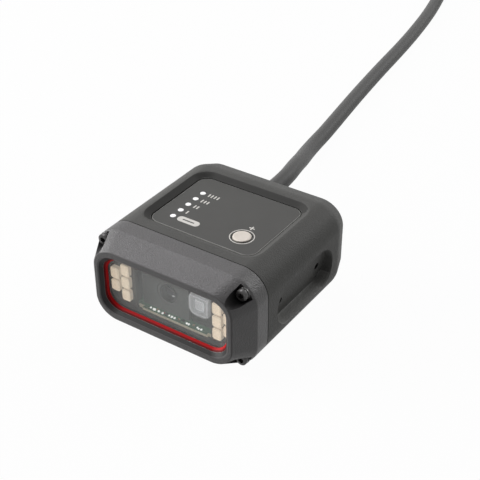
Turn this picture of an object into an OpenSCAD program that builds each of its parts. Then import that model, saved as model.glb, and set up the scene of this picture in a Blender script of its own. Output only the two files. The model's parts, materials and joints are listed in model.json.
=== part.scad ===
// Fixed barcode reader: a small industrial imager with a lit front window, a status label on top,
// mounting pockets in both sides and a lead that leaves the back.
// The origin is the bottom centre of the reader. The window faces -Y and +Z is up.

/* [Body] */
// Width of the reader
body_w = 60; // [59:0.5:76]
// Height of the reader
body_h = 32; // [31.5:0.5:42]
// Length of the rear housing
housing_l = 48.4; // [48:0.2:64]
// Length of the front bezel
bezel_l = 13.3; // [13:0.1:16]
// Radius of the long corners of the body
corner_r = 9; // [8:0.1:10]
// How far the housing's back end draws in on every side
back_taper = 2.1; // [1:0.1:2.6]
// Length over which the back end draws in
back_taper_l = 6; // [4:0.5:8]
// Gap between bezel and housing, filled by the seal
seam = 0.3; // [0.2:0.05:0.6]
// Thickness of the housing's side walls, floor and roof
wall = 3; // [2.6:0.1:3.4]
// Thickness of the housing's back wall
back_wall = 3.2; // [2.4:0.1:5]

/* [Window] */
// Length of the full-size band of the bezel behind its slope
flange_l = 5.6; // [5:0.1:6.5]
// How far the slope draws in each side
slope_x = 4.1; // [3.5:0.1:4.6]
// How far the slope draws in the top and bottom
slope_z = 3.2; // [2.6:0.1:3.6]
// Corner radius of the front rim
rim_r = 8.2; // [7.6:0.1:8.6]
// Width of the front rim at the sides
rim_side = 1.6; // [1.2:0.1:2.2]
// Width of the front rim at the top and bottom
rim_top = 2; // [1.4:0.1:2.4]
// Depth of the tapered mouth in front of the seal
mouth_d = 1.45; // [1:0.05:1.8]
// Taper of the mouth walls
mouth_taper = 1.3; // [0.6:0.1:1.6]
// Width of the seal that shows inside the mouth
seal_show = 0.6; // [0.4:0.1:1]
// Thickness of the red window seal
seal_t = 1.2; // [1:0.1:1.6]
// Thickness of the window pane
pane_t = 1.6; // [1.2:0.1:1.8]
// Depth of the frame behind the pane
retainer_t = 1.75; // [1.7:0.05:2.2]

/* [Illumination] */
// Width of one white LED
led_w = 3.3; // [2.6:0.1:3.5]
// Height of one white LED
led_h = 4.2; // [3.4:0.1:4.4]
// Thickness of one white LED
led_t = 1.6; // [1:0.1:1.65]
// Gap between the outer LED column and the frame behind the pane
led_gap = 0.1; // [0.05:0.05:0.5]
// Distance between the two LED columns
led_col_pitch = 4.1; // [3.6:0.1:4.2]
// Distance between LEDs in a column
led_pitch = 4.75; // [4.5:0.05:5]
// Thickness of the illumination board
led_board_t = 1; // [0.6:0.1:1.4]

/* [Label] */
// Width of the label recess, across the top
recess_w = 44.4; // [42:0.2:45]
// Length of the label recess
recess_l = 36.2; // [35:0.2:37]
// Depth of the label recess
recess_d = 1.5; // [0.8:0.1:1.8]
// Slope of the recess walls, measured across
recess_slope = 2.2; // [1.6:0.1:2.4]
// Corner radius of the recess
recess_r = 6.2; // [5:0.1:7]
// Thickness of the label
label_t = 0.35; // [0.2:0.05:0.6]
// Number of status lights
light_count = 5; // [3:1:5]
// Distance between status lights
light_pitch = 4.06; // [3.6:0.02:4.4]
// Diameter of a status light
light_d = 1.9; // [1.4:0.1:2.4]
// Diameter of the button cap
button_d = 6; // [4.6:0.1:7]
// Travel of the button
button_travel = 0.4; // [0.2:0.05:0.6]
// Height of the button cap above the label
button_proud = 0.3; // [0.1:0.05:0.8]

/* [Side mounts] */
// Length of the side pocket
pocket_l = 32.8; // [31:0.2:36]
// Height of the side pocket
pocket_h = 14.6; // [12:0.2:16]
// Depth of the side pocket
pocket_d = 2.2; // [1.4:0.1:3]
// Slope of the pocket walls, measured across
pocket_slope = 2.4; // [1:0.1:3]
// Distance between the two mounting holes
mount_pitch = 22.3; // [18:0.1:24]
// Radius of a mounting hole
mount_r = 1.25; // [1:0.05:1.6]
// Depth of a mounting hole
mount_depth = 5; // [4:0.1:6]

/* [Screws] */
// Shank radius of the bezel screws
screw_r = 1; // [0.8:0.05:1.2]
// Head radius of the bezel screws
head_r = 1.9; // [1.6:0.05:2.1]
// Head height of the bezel screws
head_h = 2; // [1.4:0.1:2.4]
// Distance of the bezel screws from the sides
screw_in_x = 4.2; // [4:0.1:5]
// Distance of the bezel screws from the top and bottom
screw_in_z = 3.9; // [3.7:0.1:4.6]
// Radius of the notch that holds a screw head
notch_r = 2.6; // [2.3:0.1:2.7]
// Angle that each side of a notch opens by toward the corner
notch_flare = 16; // [8:1:24]

/* [Boards] */
// Thickness of the main board
board_t = 1.4; // [1:0.1:2]
// Width of the main board
board_w = 39; // [37:0.5:41]
// Thickness of the indicator board
indicator_t = 1.2; // [0.8:0.1:1.6]
// Distance of the indicator board below the roof
indicator_drop = 3.4; // [3.3:0.1:4]

/* [Lead] */
// Diameter of the lead
cable_d = 6.4; // [5:0.1:6.8]
// Length of the strain relief outside the housing
relief_l = 16; // [12:1:16]
// Middle radius of the coil's turns
coil_r = 33.5; // [31:0.5:36]
// Diameter of the connector grip
grip_d = 13; // [11:0.5:16]
// Length of the connector grip
grip_l = 25; // [20:1:32]

/* [Hidden] */
$fn = 64;
hull_fn = 40;
eps = 0.01;
fit = 0.1;
thread_gap = 0.02;
slide_gap = 0.08;

// Planes from front to back
total_l = bezel_l + seam + housing_l;
front_y = -total_l / 2;
back_y = total_l / 2;
mid_z = body_h / 2;
bezel_back_y = front_y + bezel_l;
housing_front_y = bezel_back_y + seam;
slope_y = bezel_back_y - flange_l;
lip_y = front_y + mouth_d;
pane_y = lip_y + seal_t;
retainer_y = pane_y + pane_t;
led_board_y = retainer_y + retainer_t;
led_board_back_y = led_board_y + led_board_t;

// Outlines in the front view
rim_w = body_w - 2 * slope_x;
rim_h = body_h - 2 * slope_z;
mouth_w = rim_w - 2 * rim_side;
mouth_h = rim_h - 2 * rim_top;
mouth_r = rim_r - 0.7;
lip_w = mouth_w - 2 * mouth_taper;
lip_h = mouth_h - 2 * mouth_taper;
lip_r = mouth_r - mouth_taper;
seal_land = 1;
pocket_w_in = lip_w + 2 * seal_land;
pocket_h_in = lip_h + 2 * seal_land;
pocket_r_in = lip_r + seal_land - 0.6;
stack_w = pocket_w_in - 2 * fit;
stack_h = pocket_h_in - 2 * fit;
stack_r = pocket_r_in - fit;
retainer_rib = 0.6;
bezel_room = 0.7;

// Bezel screws
screw_x = body_w / 2 - screw_in_x;
screw_dz = body_h / 2 - screw_in_z;
notch_step = 0.7;
notch_y = slope_y - notch_step;
// Width of a notch's way out where it starts, under the round end's, and what it gains on each side
notch_way = 2 * (notch_r - fit);
notch_flare_w = body_h * tan(notch_flare);
thread_l = 7;
boss_r = 2.4;
boss_l = 10;
screw_hole_r = screw_r + fit;
hex_r = 0.87;
hex_depth = 1.1;

// Housing cavity
cavity_w = body_w - 2 * wall;
cavity_h = body_h - 2 * wall;
cavity_r = corner_r - wall;
cavity_back_y = back_y - back_wall;
ceiling_z = body_h - wall;

// Label, lights and button
label_y = housing_front_y + 3.5 + recess_l / 2;
recess_floor_z = body_h - recess_d;
label_margin = 0.2;
label_w = recess_w - 2 * recess_slope - 2 * label_margin;
label_l = recess_l - 2 * recess_slope - 2 * label_margin;
label_r = recess_r - recess_slope - label_margin;
label_top_z = recess_floor_z + label_t;
light_x = -label_w / 2 + 6.3;
light_y = label_y - 2;
function light_at(i) = light_y + (i - (light_count - 1) / 2) * light_pitch;
button_x = label_w / 2 - 8.5;
button_y = label_y - label_l / 2 + 7.75;
button_top_z = label_top_z + button_proud;
button_flange_r = button_d / 2 + 0.9;
button_flange_t = 0.9;
button_flange_z = ceiling_z - fit;
stem_r = 1.2;
label_ring_gap = 0.3;

// Indicator board below the roof
indicator_top_z = ceiling_z - indicator_drop;
indicator_w = label_w - 6;
indicator_l = 27;
indicator_y = label_y - 0.7;
switch_size = 4.5;
switch_h = 1.5;
plunger_r = 0.88;
plunger_top_z = indicator_top_z + switch_h + button_travel + fit;
plunger_l = 1.2;
status_led = [1.6, 0.9, 0.6];
pipe_bar_t = 1.1;
pipe_bar_w = 3;
pipe_foot_r = 0.6;
pipe_end_z = indicator_top_z + status_led[2] + 0.2;
pipe_bar_z = pipe_end_z + 0.6;
roof_post_r = 2;
roof_posts = [[-2, -9.5], [-2, 11.3], [13, 11.3]];

// Side mounts
pocket_y = label_y + 0.2;
pocket_z = mid_z - 1.2;
pocket_floor_x = body_w / 2 - pocket_d;
block_x = pocket_floor_x - mount_depth - 1.2;
block_grow = 1;

// LED columns and the arch between them
led_out_x = stack_w / 2 - retainer_rib - led_gap - led_w / 2;
led_in_x = led_out_x - led_col_pitch;
arch_margin = 1.4;
arch_w = 2 * (led_in_x - led_w / 2 - arch_margin);
arch_rise = 5.2;
arch_top_z = mid_z + arch_rise;

// Main board, whose tongue clears the bottom of the bezel's pocket
standoff_h = mid_z - pocket_h_in / 2 + fit - wall;
board_top_z = wall + standoff_h + board_t;
board_front_y = led_board_back_y + 0.2;
board_room = 4;
board_back_y = cavity_back_y - board_room;
tongue_gap = 2;
tongue_w = arch_w - 2 * tongue_gap;
tongue_y = led_board_y + fit;
board_post_r = 2.2;
board_screw_r = 0.8;
board_head_r = 1.6;
board_head_h = 1;
post_x = board_w / 2 - 2.9;
post_front = 12.4;
post_back = 4;
post_ys = [housing_front_y + post_front, board_back_y - post_back];

// Optics
hood_t = 1.6;
hood_room = 1;
hood_w = arch_w + 2 * hood_room + 2 * hood_t;
hood_under = 0.4;
hood_top_z = indicator_top_z - indicator_t - hood_under;
hood_reach = 8.6;
hood_back_y = housing_front_y + hood_reach;
holder_w = 9;
optic_gap = 0.6;
camera_w = arch_w - holder_w - 3 * optic_gap;
camera_x = optic_gap + camera_w / 2 - arch_w / 2;
camera_set_back = 1.4;
camera_y = led_board_back_y + camera_set_back;
camera_back_y = hood_back_y - 1;
camera_top_z = arch_top_z - 0.6;
lens_off = 0.8;
lens_x = camera_x + lens_off;
lens_drop = 2;
lens_z = mid_z - lens_drop;
lens_r = 3.2;
barrel_wall = 0.6;
barrel_y = camera_y + 0.4;
barrel_l = 9;
element_r = lens_r - barrel_wall - 0.05;
sensor_size = 6;
sensor_t = 0.8;
sensor_room = 3;
back_board_t = 1;
aimer_x = arch_w / 2 - optic_gap - holder_w / 2;
aimer_z = mid_z + 0.2;
aimer_w = 8.3;
aimer_h = 9;
aimer_r = 3.4;
aimer_y = led_board_back_y - 0.4;
holder_y = led_board_back_y + 2.2;
aimer_bore_r = 3.7;
aimer_cone_l = 3.4;
engine_screw_r = 0.7;
engine_head_r = 1.3;
engine_head_h = 0.8;
engine_screw_l = 4;
engine_screw_in = 5;
engine_screw_y = camera_back_y - engine_screw_in;

// Parts on the main board
chip_row = 19.5;
power_row = 30.5;
power_x = 12.2;
processor = [12, 12, 1.4];
processor_x = -6;
memory = [7, 9, 1.1];
memory_x = 5;
inductor = [6, 6, 3];
capacitor_r = 2.5;
capacitor_h = 6;
capacitor_pitch = 5.4;
chip_y = housing_front_y + chip_row;
power_y = housing_front_y + power_row;
flex_w = 8;
flex_t = 0.3;
flex_x = 2;
flex_row = 31.5;
flex_y = housing_front_y + flex_row;
flex_shift = 3;
socket = [10, 3, 1.6];

// Lead entry
cable_x = -12.4;
cable_z = 12;
cable_r = cable_d / 2;
relief_flange_r = cable_r + 2.2;
relief_flange_t = 1.4;
relief_neck_r = cable_r + 0.95;
relief_root_r = cable_r + 2;
relief_tip_r = cable_r + 0.7;
relief_ribs = 4;
relief_groove = 0.55;
relief_end_y = back_y + relief_l;
header = [8, 5, 8.6];
header_in = 13.5;
header_y = cavity_back_y - header_in;
wire_r = 0.55;
wire_pitch = 1.5;

// Route of the lead from the strain relief to its coil, on the surface that the reader stands on
lead_points = [
    [cable_x, relief_end_y, cable_z], [-12.4, 54, 12], [-13, 62, 11.9], [-15.5, 72, 10.5], [-18.5, 82, 8],
    [-21.8, 92, 5.5], [-24.2, 102, 4], [-26, 113, cable_r + 0.1], [-27.7, 124, cable_r],
    [-29.7, 137, cable_r],
    [-31.8, 151, cable_r], [-34, 167, cable_r], [-36.2, 184, cable_r], [-38.2, 201, cable_r],
    [-40.4, 218, cable_r], [-43, 235, cable_r], [-46, 252, cable_r], [-49.4, 268, cable_r],
    [-53.4, 284, cable_r], [-58, 301, cable_r], [-63, 318, cable_r], [-69, 337.5, cable_r]
];
// Middle of the coil, which the lead runs onto at its outer turn, going clockwise
lead_end = lead_points[len(lead_points) - 1];
lead_way = heading(lead_points, len(lead_points) - 1);
coil_outer_r = coil_r + cable_r;
coil_at = [lead_end[0] + coil_outer_r * lead_way[1], lead_end[1] - coil_outer_r * lead_way[0]];
// Route of the end that leaves the coil's top turn and leans down to the connector
tail_y = coil_at[1] + coil_outer_r;
tail_z = 3 * cable_r;
tail_drop = 0.75;
tail_step = 10;
tail_points = [
    [coil_at[0] + 4.5, tail_y, tail_z], [coil_at[0] + 13.5, tail_y, tail_z],
    [coil_at[0] + 13.5 + tail_step, tail_y, tail_z - tail_drop]
];
tube_sides = 10;
tie_w = 6;
tie_t = 1;
tie_angle = 20;
connector_at = tail_points[len(tail_points) - 1];
connector_tilt = atan(tail_drop / tail_step);
shell_r = 6;
shell_wall = 1.2;
shell_l = 13;
insert_t = 5;
pin_r = 0.4;
pin_l = 5;
pin_ring_r = 2.75;
pin_count = 7;

// Colours
dark_grey = [0.29, 0.29, 0.28];
bezel_grey = [0.37, 0.37, 0.37];
label_grey = [0.34, 0.34, 0.33];
black = [0.06, 0.06, 0.06];
steel = [0.6, 0.6, 0.62];
red = [0.66, 0.11, 0.13];
cream = [0.93, 0.86, 0.77];
board_green = [0.1, 0.3, 0.16];
copper = [0.7, 0.45, 0.2];
white = [0.95, 0.95, 0.93];

led_rows = [1, 0, -1];
led_row_drop = 0.8;
led_row_z = mid_z - led_row_drop;
led_sides = [["left", -1], ["right", 1]];
led_nodes = [for (s = led_sides) for (i = [1:5]) str("white_led_", s[0], "_", i)];

// A rectangle with round corners, centred
module rounded(w, h, r) {
    square([w - 2 * r, h], center = true);
    square([w, h - 2 * r], center = true);
    for (x = [-1, 1], y = [-1, 1])
        translate([x * (w / 2 - r), y * (h / 2 - r)]) circle(r);
}

// A slot outline with round ends, centred
module slot_outline(w, h) {
    square([w - h, h], center = true);
    for (x = [-1, 1]) translate([x * (w - h) / 2, 0]) circle(h / 2);
}

// A plate with round corners that faces the front, from y0 back to y1, centred on the window's height
module front_plate(w, h, r, y0, y1) {
    translate([0, y1, mid_z]) rotate([90, 0, 0]) linear_extrude(y1 - y0) rounded(w, h, r);
}

// A block with round corners whose sides draw in evenly by inset over its length along +Z
module tapered_block(w, h, r, inset, length) {
    for (x = [-1, 1], y = [-1, 1])
        translate([x * (w / 2 - r), y * (h / 2 - r), 0]) cylinder(h = length, r1 = r, r2 = r - inset);
    rotate([90, 0, 90]) linear_extrude(w - 2 * r, center = true)
        polygon([[-h / 2, 0], [h / 2, 0], [h / 2 - inset, length], [inset - h / 2, length]]);
    rotate([90, 0, 0]) linear_extrude(h - 2 * r, center = true)
        polygon([[-w / 2, 0], [w / 2, 0], [w / 2 - inset, length], [inset - w / 2, length]]);
}

// A slot with round ends whose sides draw in evenly by inset over its length along +Z
module tapered_slot(w, h, inset, length) {
    for (x = [-1, 1])
        translate([x * (w - h) / 2, 0, 0]) cylinder(h = length, r1 = h / 2, r2 = h / 2 - inset);
    rotate([90, 0, 90]) linear_extrude(w - h, center = true)
        polygon([[-h / 2, 0], [h / 2, 0], [h / 2 - inset, length], [inset - h / 2, length]]);
}

// A cylinder along +Y
module y_rod(x, y, z, r, length) {
    translate([x, y, z]) rotate([-90, 0, 0]) cylinder(h = length, r = r);
}

// Copies of its children at the four bezel screws
module at_bezel_screws() {
    for (x = [-1, 1], z = [-1, 1]) translate([x * screw_x, 0, mid_z + z * screw_dz]) children();
}

// A solid box given by its low corner's middle: centred in X, from y and z upwards
module block(x, y, z, size) {
    translate([x - size[0] / 2, y - size[1] / 2, z]) cube(size);
}

// The closed outside of the rear housing
module housing_outside() {
    front_plate(body_w, body_h, corner_r, housing_front_y, back_y - back_taper_l);
    translate([0, back_y - back_taper_l, mid_z]) rotate([-90, 0, 0])
        tapered_block(body_w, body_h, corner_r, back_taper, back_taper_l);
}

// One side's pocket with its two blind holes, cut into +X
module side_pocket() {
    translate([body_w / 2 + eps, pocket_y, pocket_z]) rotate([90, 0, -90])
        tapered_slot(pocket_l, pocket_h, pocket_slope, pocket_d + eps);
    for (s = [-1, 1])
        translate([pocket_floor_x - mount_depth, pocket_y + s * mount_pitch / 2, pocket_z])
            rotate([0, 90, 0]) cylinder(h = mount_depth + eps, r = mount_r);
}

// The thick pad behind one side's pocket
module side_pad() {
    pad_h = pocket_h - 2 * pocket_slope + 2 * block_grow;
    pad_l = pocket_l - 2 * pocket_slope + 2 * block_grow;
    translate([block_x, pocket_y, pocket_z]) rotate([90, 0, 90])
        linear_extrude(body_w / 2 - wall - block_x + eps) slot_outline(pad_l, pad_h);
}

// Posts and pads that stand inside the housing
module housing_inside() {
    at_bezel_screws() y_rod(0, housing_front_y - eps, 0, boss_r, boss_l);
    side_pad();
    mirror([1, 0, 0]) side_pad();
    for (x = [-1, 1], y = post_ys)
        translate([x * post_x, y, wall - eps]) cylinder(h = standoff_h + eps, r = board_post_r);
    for (p = roof_posts)
        translate([p[0], label_y + p[1], indicator_top_z])
            cylinder(h = indicator_drop + eps, r = roof_post_r);
}

module rear_housing() color(dark_grey) difference() {
    housing_outside();
    difference() {
        front_plate(cavity_w, cavity_h, cavity_r, housing_front_y - eps, cavity_back_y);
        housing_inside();
    }
    at_bezel_screws() y_rod(0, housing_front_y - eps, 0, screw_r + thread_gap, thread_l + 1);
    side_pocket();
    mirror([1, 0, 0]) side_pocket();
    for (x = [-1, 1], y = post_ys)
        translate([x * post_x, y, wall - 1]) cylinder(h = standoff_h + 2, r = board_screw_r + thread_gap);
    for (p = roof_posts)
        translate([p[0], label_y + p[1], indicator_top_z - eps])
            cylinder(h = indicator_drop - 0.6, r = board_screw_r + thread_gap);
    translate([0, label_y, body_h + eps]) rotate([180, 0, 0])
        tapered_block(recess_w, recess_l, recess_r, recess_slope, recess_d + eps);
    for (i = [0:light_count - 1])
        translate([light_x, light_at(i), ceiling_z - eps]) cylinder(h = wall, r = light_d / 2 + fit);
    translate([button_x, button_y, ceiling_z - eps]) cylinder(h = wall, r = button_d / 2 + slide_gap);
    y_rod(cable_x, cavity_back_y - eps, cable_z, relief_neck_r + thread_gap, back_wall + 2 * eps);
}

// The sloped front body of the bezel, full size at the back and drawn in at the rim
module bezel_outside() {
    hull() {
        front_plate(body_w, body_h, corner_r, slope_y, bezel_back_y, $fn = hull_fn);
        front_plate(rim_w, rim_h, rim_r, front_y, front_y + eps, $fn = hull_fn);
    }
}

// The notch that holds a screw head, open toward the corner of the slope and widening to it
module screw_notch() {
    translate([0, front_y - 1, 0]) rotate([-90, 0, 0]) linear_extrude(notch_y - front_y + 1) rotate(-45) {
        circle(r = notch_r);
        polygon([[0, -notch_way / 2], [body_h, -notch_way / 2 - notch_flare_w],
            [body_h, notch_way / 2 + notch_flare_w], [0, notch_way / 2]]);
    }
}

module front_bezel() color(bezel_grey) difference() {
    bezel_outside();
    translate([0, front_y - eps, mid_z]) rotate([-90, 0, 0])
        tapered_block(mouth_w, mouth_h, mouth_r, mouth_taper, mouth_d + 2 * eps);
    front_plate(pocket_w_in, pocket_h_in, pocket_r_in, lip_y, led_board_back_y);
    front_plate(pocket_w_in + 2 * bezel_room, pocket_h_in + 2 * bezel_room, pocket_r_in + bezel_room,
        led_board_back_y - eps, bezel_back_y + eps);
    for (a = [0, 1], b = [0, 1])
        translate([0, 0, mid_z]) mirror([a, 0, 0]) mirror([0, 0, b])
            translate([screw_x, 0, screw_dz]) screw_notch();
    at_bezel_screws() y_rod(0, notch_y - eps, 0, screw_hole_r, bezel_back_y - notch_y + 2 * eps);
}

// Flat gasket in the seam, set back a little from the outside
module housing_seal() color(black) difference() {
    front_plate(body_w - 0.8, body_h - 0.8, corner_r - 0.4, bezel_back_y, housing_front_y);
    front_plate(cavity_w - 2, cavity_h - 2, cavity_r - 1, bezel_back_y - eps, housing_front_y + eps);
    at_bezel_screws() y_rod(0, bezel_back_y - eps, 0, screw_hole_r, seam + 2 * eps);
}

module bezel_screws() color(black) at_bezel_screws() difference() {
    union() {
        y_rod(0, notch_y - head_h, 0, head_r, head_h);
        y_rod(0, notch_y - eps, 0, screw_r, housing_front_y + thread_l - notch_y + eps);
    }
    translate([0, notch_y - head_h - eps, 0]) rotate([-90, 0, 0])
        cylinder(h = hex_depth + eps, r = hex_r, $fn = 6);
}

module window_seal() color(red) difference() {
    front_plate(stack_w, stack_h, stack_r, lip_y, pane_y);
    translate([0, lip_y - eps, mid_z]) rotate([-90, 0, 0])
        tapered_block(lip_w, lip_h, lip_r, seal_show, seal_t + 2 * eps);
}

module window_pane() color([0.8, 0.85, 0.85, 0.35])
    front_plate(stack_w, stack_h, stack_r, pane_y, retainer_y);

module window_retainer() color(black) difference() {
    front_plate(stack_w, stack_h, stack_r, retainer_y, led_board_y);
    front_plate(stack_w - 2 * retainer_rib, stack_h - 2 * retainer_rib, stack_r - retainer_rib,
        retainer_y - eps, led_board_y + eps);
    for (side = [-1, 1], i = [1:5]) led_relief(led_place(side, i));
}

// Room round one LED, cut from the frame where the two come close
module led_relief(p) {
    translate([p[0] - led_w / 2 - fit, retainer_y - eps, p[1] - led_h / 2 - fit])
        cube([led_w + 2 * fit, retainer_t + 2 * eps, led_h + 2 * fit]);
}

// Board with an arch in the middle that the camera, the aimer and the main board's tongue pass through
module illumination_board() color(black) difference() {
    front_plate(stack_w, stack_h, stack_r, led_board_y, led_board_back_y);
    translate([-arch_w / 2, led_board_y - eps, 0]) cube([arch_w, led_board_t + 2 * eps, arch_top_z]);
}

// One white LED: a package with a round dish in its front
module white_led(x, z) color(cream) difference() {
    translate([x - led_w / 2, led_board_y - led_t, z - led_h / 2]) cube([led_w, led_t, led_h]);
    y_rod(x, led_board_y - led_t - eps, z, led_w / 2 - 0.35, 0.3);
}

// Place of LED i of five: three in the inner column, then two in the outer one
function led_place(side, i) =
    i <= 3 ? [side * led_in_x, led_row_z + led_rows[i - 1] * led_pitch]
    : [side * led_out_x, led_row_z + (i == 4 ? 0.5 : -0.5) * led_pitch];

// Arched cover over the camera and the aimer, standing on the main board
module optics_hood() color(black) difference() {
    length = hood_back_y - led_board_back_y;
    height = hood_top_z - board_top_z;
    translate([-hood_w / 2, led_board_back_y, board_top_z]) cube([hood_w, length, height]);
    translate([hood_t - hood_w / 2, led_board_back_y - eps, board_top_z - eps])
        cube([hood_w - 2 * hood_t, length + 2 * eps, height - hood_t + eps]);
}

module camera_housing() color([0.3, 0.32, 0.31]) difference() {
    translate([camera_x - camera_w / 2, camera_y, board_top_z])
        cube([camera_w, camera_back_y - camera_y, camera_top_z - board_top_z]);
    y_rod(lens_x, camera_y - eps, lens_z, lens_r + fit / 2, camera_back_y - camera_y + 2 * eps);
    translate([lens_x - sensor_size, camera_back_y - sensor_room, lens_z - sensor_size])
        cube([2 * sensor_size, sensor_room + eps, 2 * sensor_size]);
    for (s = [-1, 1])
        translate([camera_x + s * camera_w / 3, engine_screw_y, board_top_z - eps])
            cylinder(h = engine_screw_l, r = engine_screw_r + thread_gap);
}

module lens_barrel() color(black) difference() {
    y_rod(lens_x, barrel_y, lens_z, lens_r, barrel_l);
    y_rod(lens_x, barrel_y - eps, lens_z, lens_r - barrel_wall, barrel_l + 2 * eps);
}

// A round lens with one domed face toward the front, its back face at y
module lens(y, thickness, dome) {
    sphere_r = (element_r * element_r + dome * dome) / (2 * dome);
    intersection() {
        y_rod(lens_x, y - thickness, lens_z, element_r, thickness);
        translate([lens_x, y - thickness + sphere_r, lens_z]) sphere(sphere_r);
    }
}

module front_lens() color([0.3, 0.4, 0.5, 0.5]) lens(barrel_y + 3.2, 2.2, 0.9);

module rear_lens() color([0.3, 0.4, 0.5, 0.5]) lens(barrel_y + barrel_l - 0.6, 1.8, 0.7);

module image_sensor() color([0.15, 0.15, 0.2])
    translate([lens_x - sensor_size / 2, camera_back_y - sensor_t, lens_z - sensor_size / 2])
        cube([sensor_size, sensor_t, sensor_size]);

module sensor_board() color(board_green)
    translate([camera_x - camera_w / 2, camera_back_y, board_top_z])
        cube([camera_w, back_board_t, camera_top_z - board_top_z]);

// Clear moulded optic: a soft square front on a cone that gathers the light of the LED behind it
module aimer_lens() color([0.85, 0.88, 0.9, 0.6]) {
    translate([aimer_x, holder_y, aimer_z]) rotate([90, 0, 0])
        linear_extrude(holder_y - aimer_y - 1) rounded(aimer_w, aimer_h, aimer_r);
    translate([aimer_x, aimer_y + 1, aimer_z]) rotate([90, 0, 0])
        tapered_block(aimer_w, aimer_h, aimer_r, 1, 1);
    translate([aimer_x, holder_y - eps, aimer_z]) rotate([-90, 0, 0])
        cylinder(h = aimer_cone_l, r1 = aimer_bore_r - fit, r2 = aimer_bore_r - 1.5);
}

module aimer_holder() color(black) difference() {
    translate([aimer_x - holder_w / 2, holder_y, board_top_z])
        cube([holder_w, camera_back_y - holder_y, camera_top_z - board_top_z]);
    y_rod(aimer_x, holder_y - eps, aimer_z, aimer_bore_r, camera_back_y - holder_y + 2 * eps);
}

module aimer_led() color(red) {
    translate([aimer_x - 1.5, camera_back_y - 1.4, aimer_z - 1.5]) cube([3, 1.4, 3]);
    y_rod(aimer_x, camera_back_y - 2.2, aimer_z, 1.1, 1);
}

module aimer_board() color(board_green)
    translate([aimer_x - holder_w / 2, camera_back_y, board_top_z])
        cube([holder_w, back_board_t, camera_top_z - board_top_z]);

// Screws that hold the camera housing from below the main board
module engine_screws() color(steel)
    for (s = [-1, 1])
        translate([camera_x + s * camera_w / 3, engine_screw_y, board_top_z - board_t - engine_head_h]) {
            cylinder(h = engine_head_h, r = engine_head_r);
            cylinder(h = engine_head_h + board_t + engine_screw_l - 0.5, r = engine_screw_r);
        }

// Board on four posts, with a narrow tongue that reaches forward under the window
module main_board() color(board_green) difference() {
    union() {
        translate([-board_w / 2, board_front_y, board_top_z - board_t])
            cube([board_w, board_back_y - board_front_y, board_t]);
        translate([-tongue_w / 2, tongue_y, board_top_z - board_t])
            cube([tongue_w, board_front_y - tongue_y + eps, board_t]);
    }
    for (x = [-1, 1], y = post_ys)
        translate([x * post_x, y, 0]) cylinder(h = body_h, r = board_screw_r + fit);
    for (s = [-1, 1])
        translate([camera_x + s * camera_w / 3, engine_screw_y, 0])
            cylinder(h = body_h, r = engine_screw_r + fit);
}

module board_screws() color(steel)
    for (x = [-1, 1], y = post_ys) translate([x * post_x, y, board_top_z]) {
        cylinder(h = board_head_h, r = board_head_r);
        translate([0, 0, -board_t - standoff_h]) cylinder(h = board_t + standoff_h + eps, r = board_screw_r);
    }

module processor_chip() color(black) block(processor_x, chip_y, board_top_z, processor);

module memory_chip() color(black) block(memory_x, chip_y, board_top_z, memory);

module power_inductor() color([0.25, 0.25, 0.25]) {
    block(power_x, power_y, board_top_z, inductor);
    translate([power_x, power_y, board_top_z + inductor[2] - eps])
        cylinder(h = 0.4, r = inductor[0] / 2 - 0.6);
}

module supply_capacitors() color(steel)
    for (i = [0, 1])
        translate([power_x, chip_y + (i - 0.5) * capacitor_pitch, board_top_z]) {
            cylinder(h = capacitor_h, r = capacitor_r - 0.2);
            block(0, 0, 0, [2 * capacitor_r, 2 * capacitor_r, 0.6]);
        }

module main_flex_socket() color(cream) block(flex_x, flex_y, board_top_z, socket);

module indicator_flex_socket() color(cream)
    block(flex_x, flex_y - flex_shift, indicator_top_z - indicator_t - socket[2], socket);

// Flat ribbon with a soft double bend between the two sockets
module flex_ribbon() {
    low = board_top_z + socket[2];
    high = indicator_top_z - indicator_t - socket[2];
    third = (high - low) / 3;
    color(copper) translate([flex_x, flex_y, 0]) rotate([90, 0, 90]) linear_extrude(flex_w, center = true)
        polygon([[0, low], [flex_t, low], [flex_t, low + third], [flex_t - flex_shift, high - third],
            [flex_t - flex_shift, high], [-flex_shift, high], [-flex_shift, high - third], [0, low + third]]);
}

module cable_header() color(white) block(cable_x, header_y, board_top_z, header);

// Wires from the end of the lead to the header
module inner_wires() color([0.7, 0.6, 0.2])
    for (x = [-1, 0, 1], z = [-0.5, 0.5])
        y_rod(cable_x + x * wire_pitch, header_y + header[1] / 2, cable_z + z * wire_pitch, wire_r,
            cavity_back_y - relief_flange_t - header_y - header[1] / 2);

module top_label() color(label_grey) difference() {
    translate([0, label_y, recess_floor_z]) linear_extrude(label_t) rounded(label_w, label_l, label_r);
    for (i = [0:light_count - 1])
        translate([light_x, light_at(i), recess_floor_z - eps])
            cylinder(h = label_t + 2 * eps, r = light_d / 2 + fit);
    translate([button_x, button_y, recess_floor_z - eps])
        cylinder(h = label_t + 2 * eps, r = button_d / 2 + label_ring_gap);
}

// Round button with a retaining flange under the roof and a stem over the switch
module tune_button() color(white) translate([button_x, button_y, 0]) {
    edge = 0.25;
    rotate_extrude() polygon([[0, plunger_top_z], [stem_r, plunger_top_z],
        [stem_r, button_flange_z - button_flange_t], [button_flange_r, button_flange_z - button_flange_t],
        [button_flange_r, button_flange_z], [button_d / 2, button_flange_z],
        [button_d / 2, button_top_z - edge], [button_d / 2 - edge, button_top_z], [0, button_top_z]]);
}

module switch_plunger() color(black)
    translate([button_x, button_y, plunger_top_z - plunger_l]) cylinder(h = plunger_l, r = plunger_r);

module tact_switch() color(steel) difference() {
    block(button_x, button_y, indicator_top_z, [switch_size, switch_size, switch_h]);
    translate([button_x, button_y, indicator_top_z - eps])
        cylinder(h = switch_h + 2 * eps, r = plunger_r + slide_gap);
}

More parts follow.
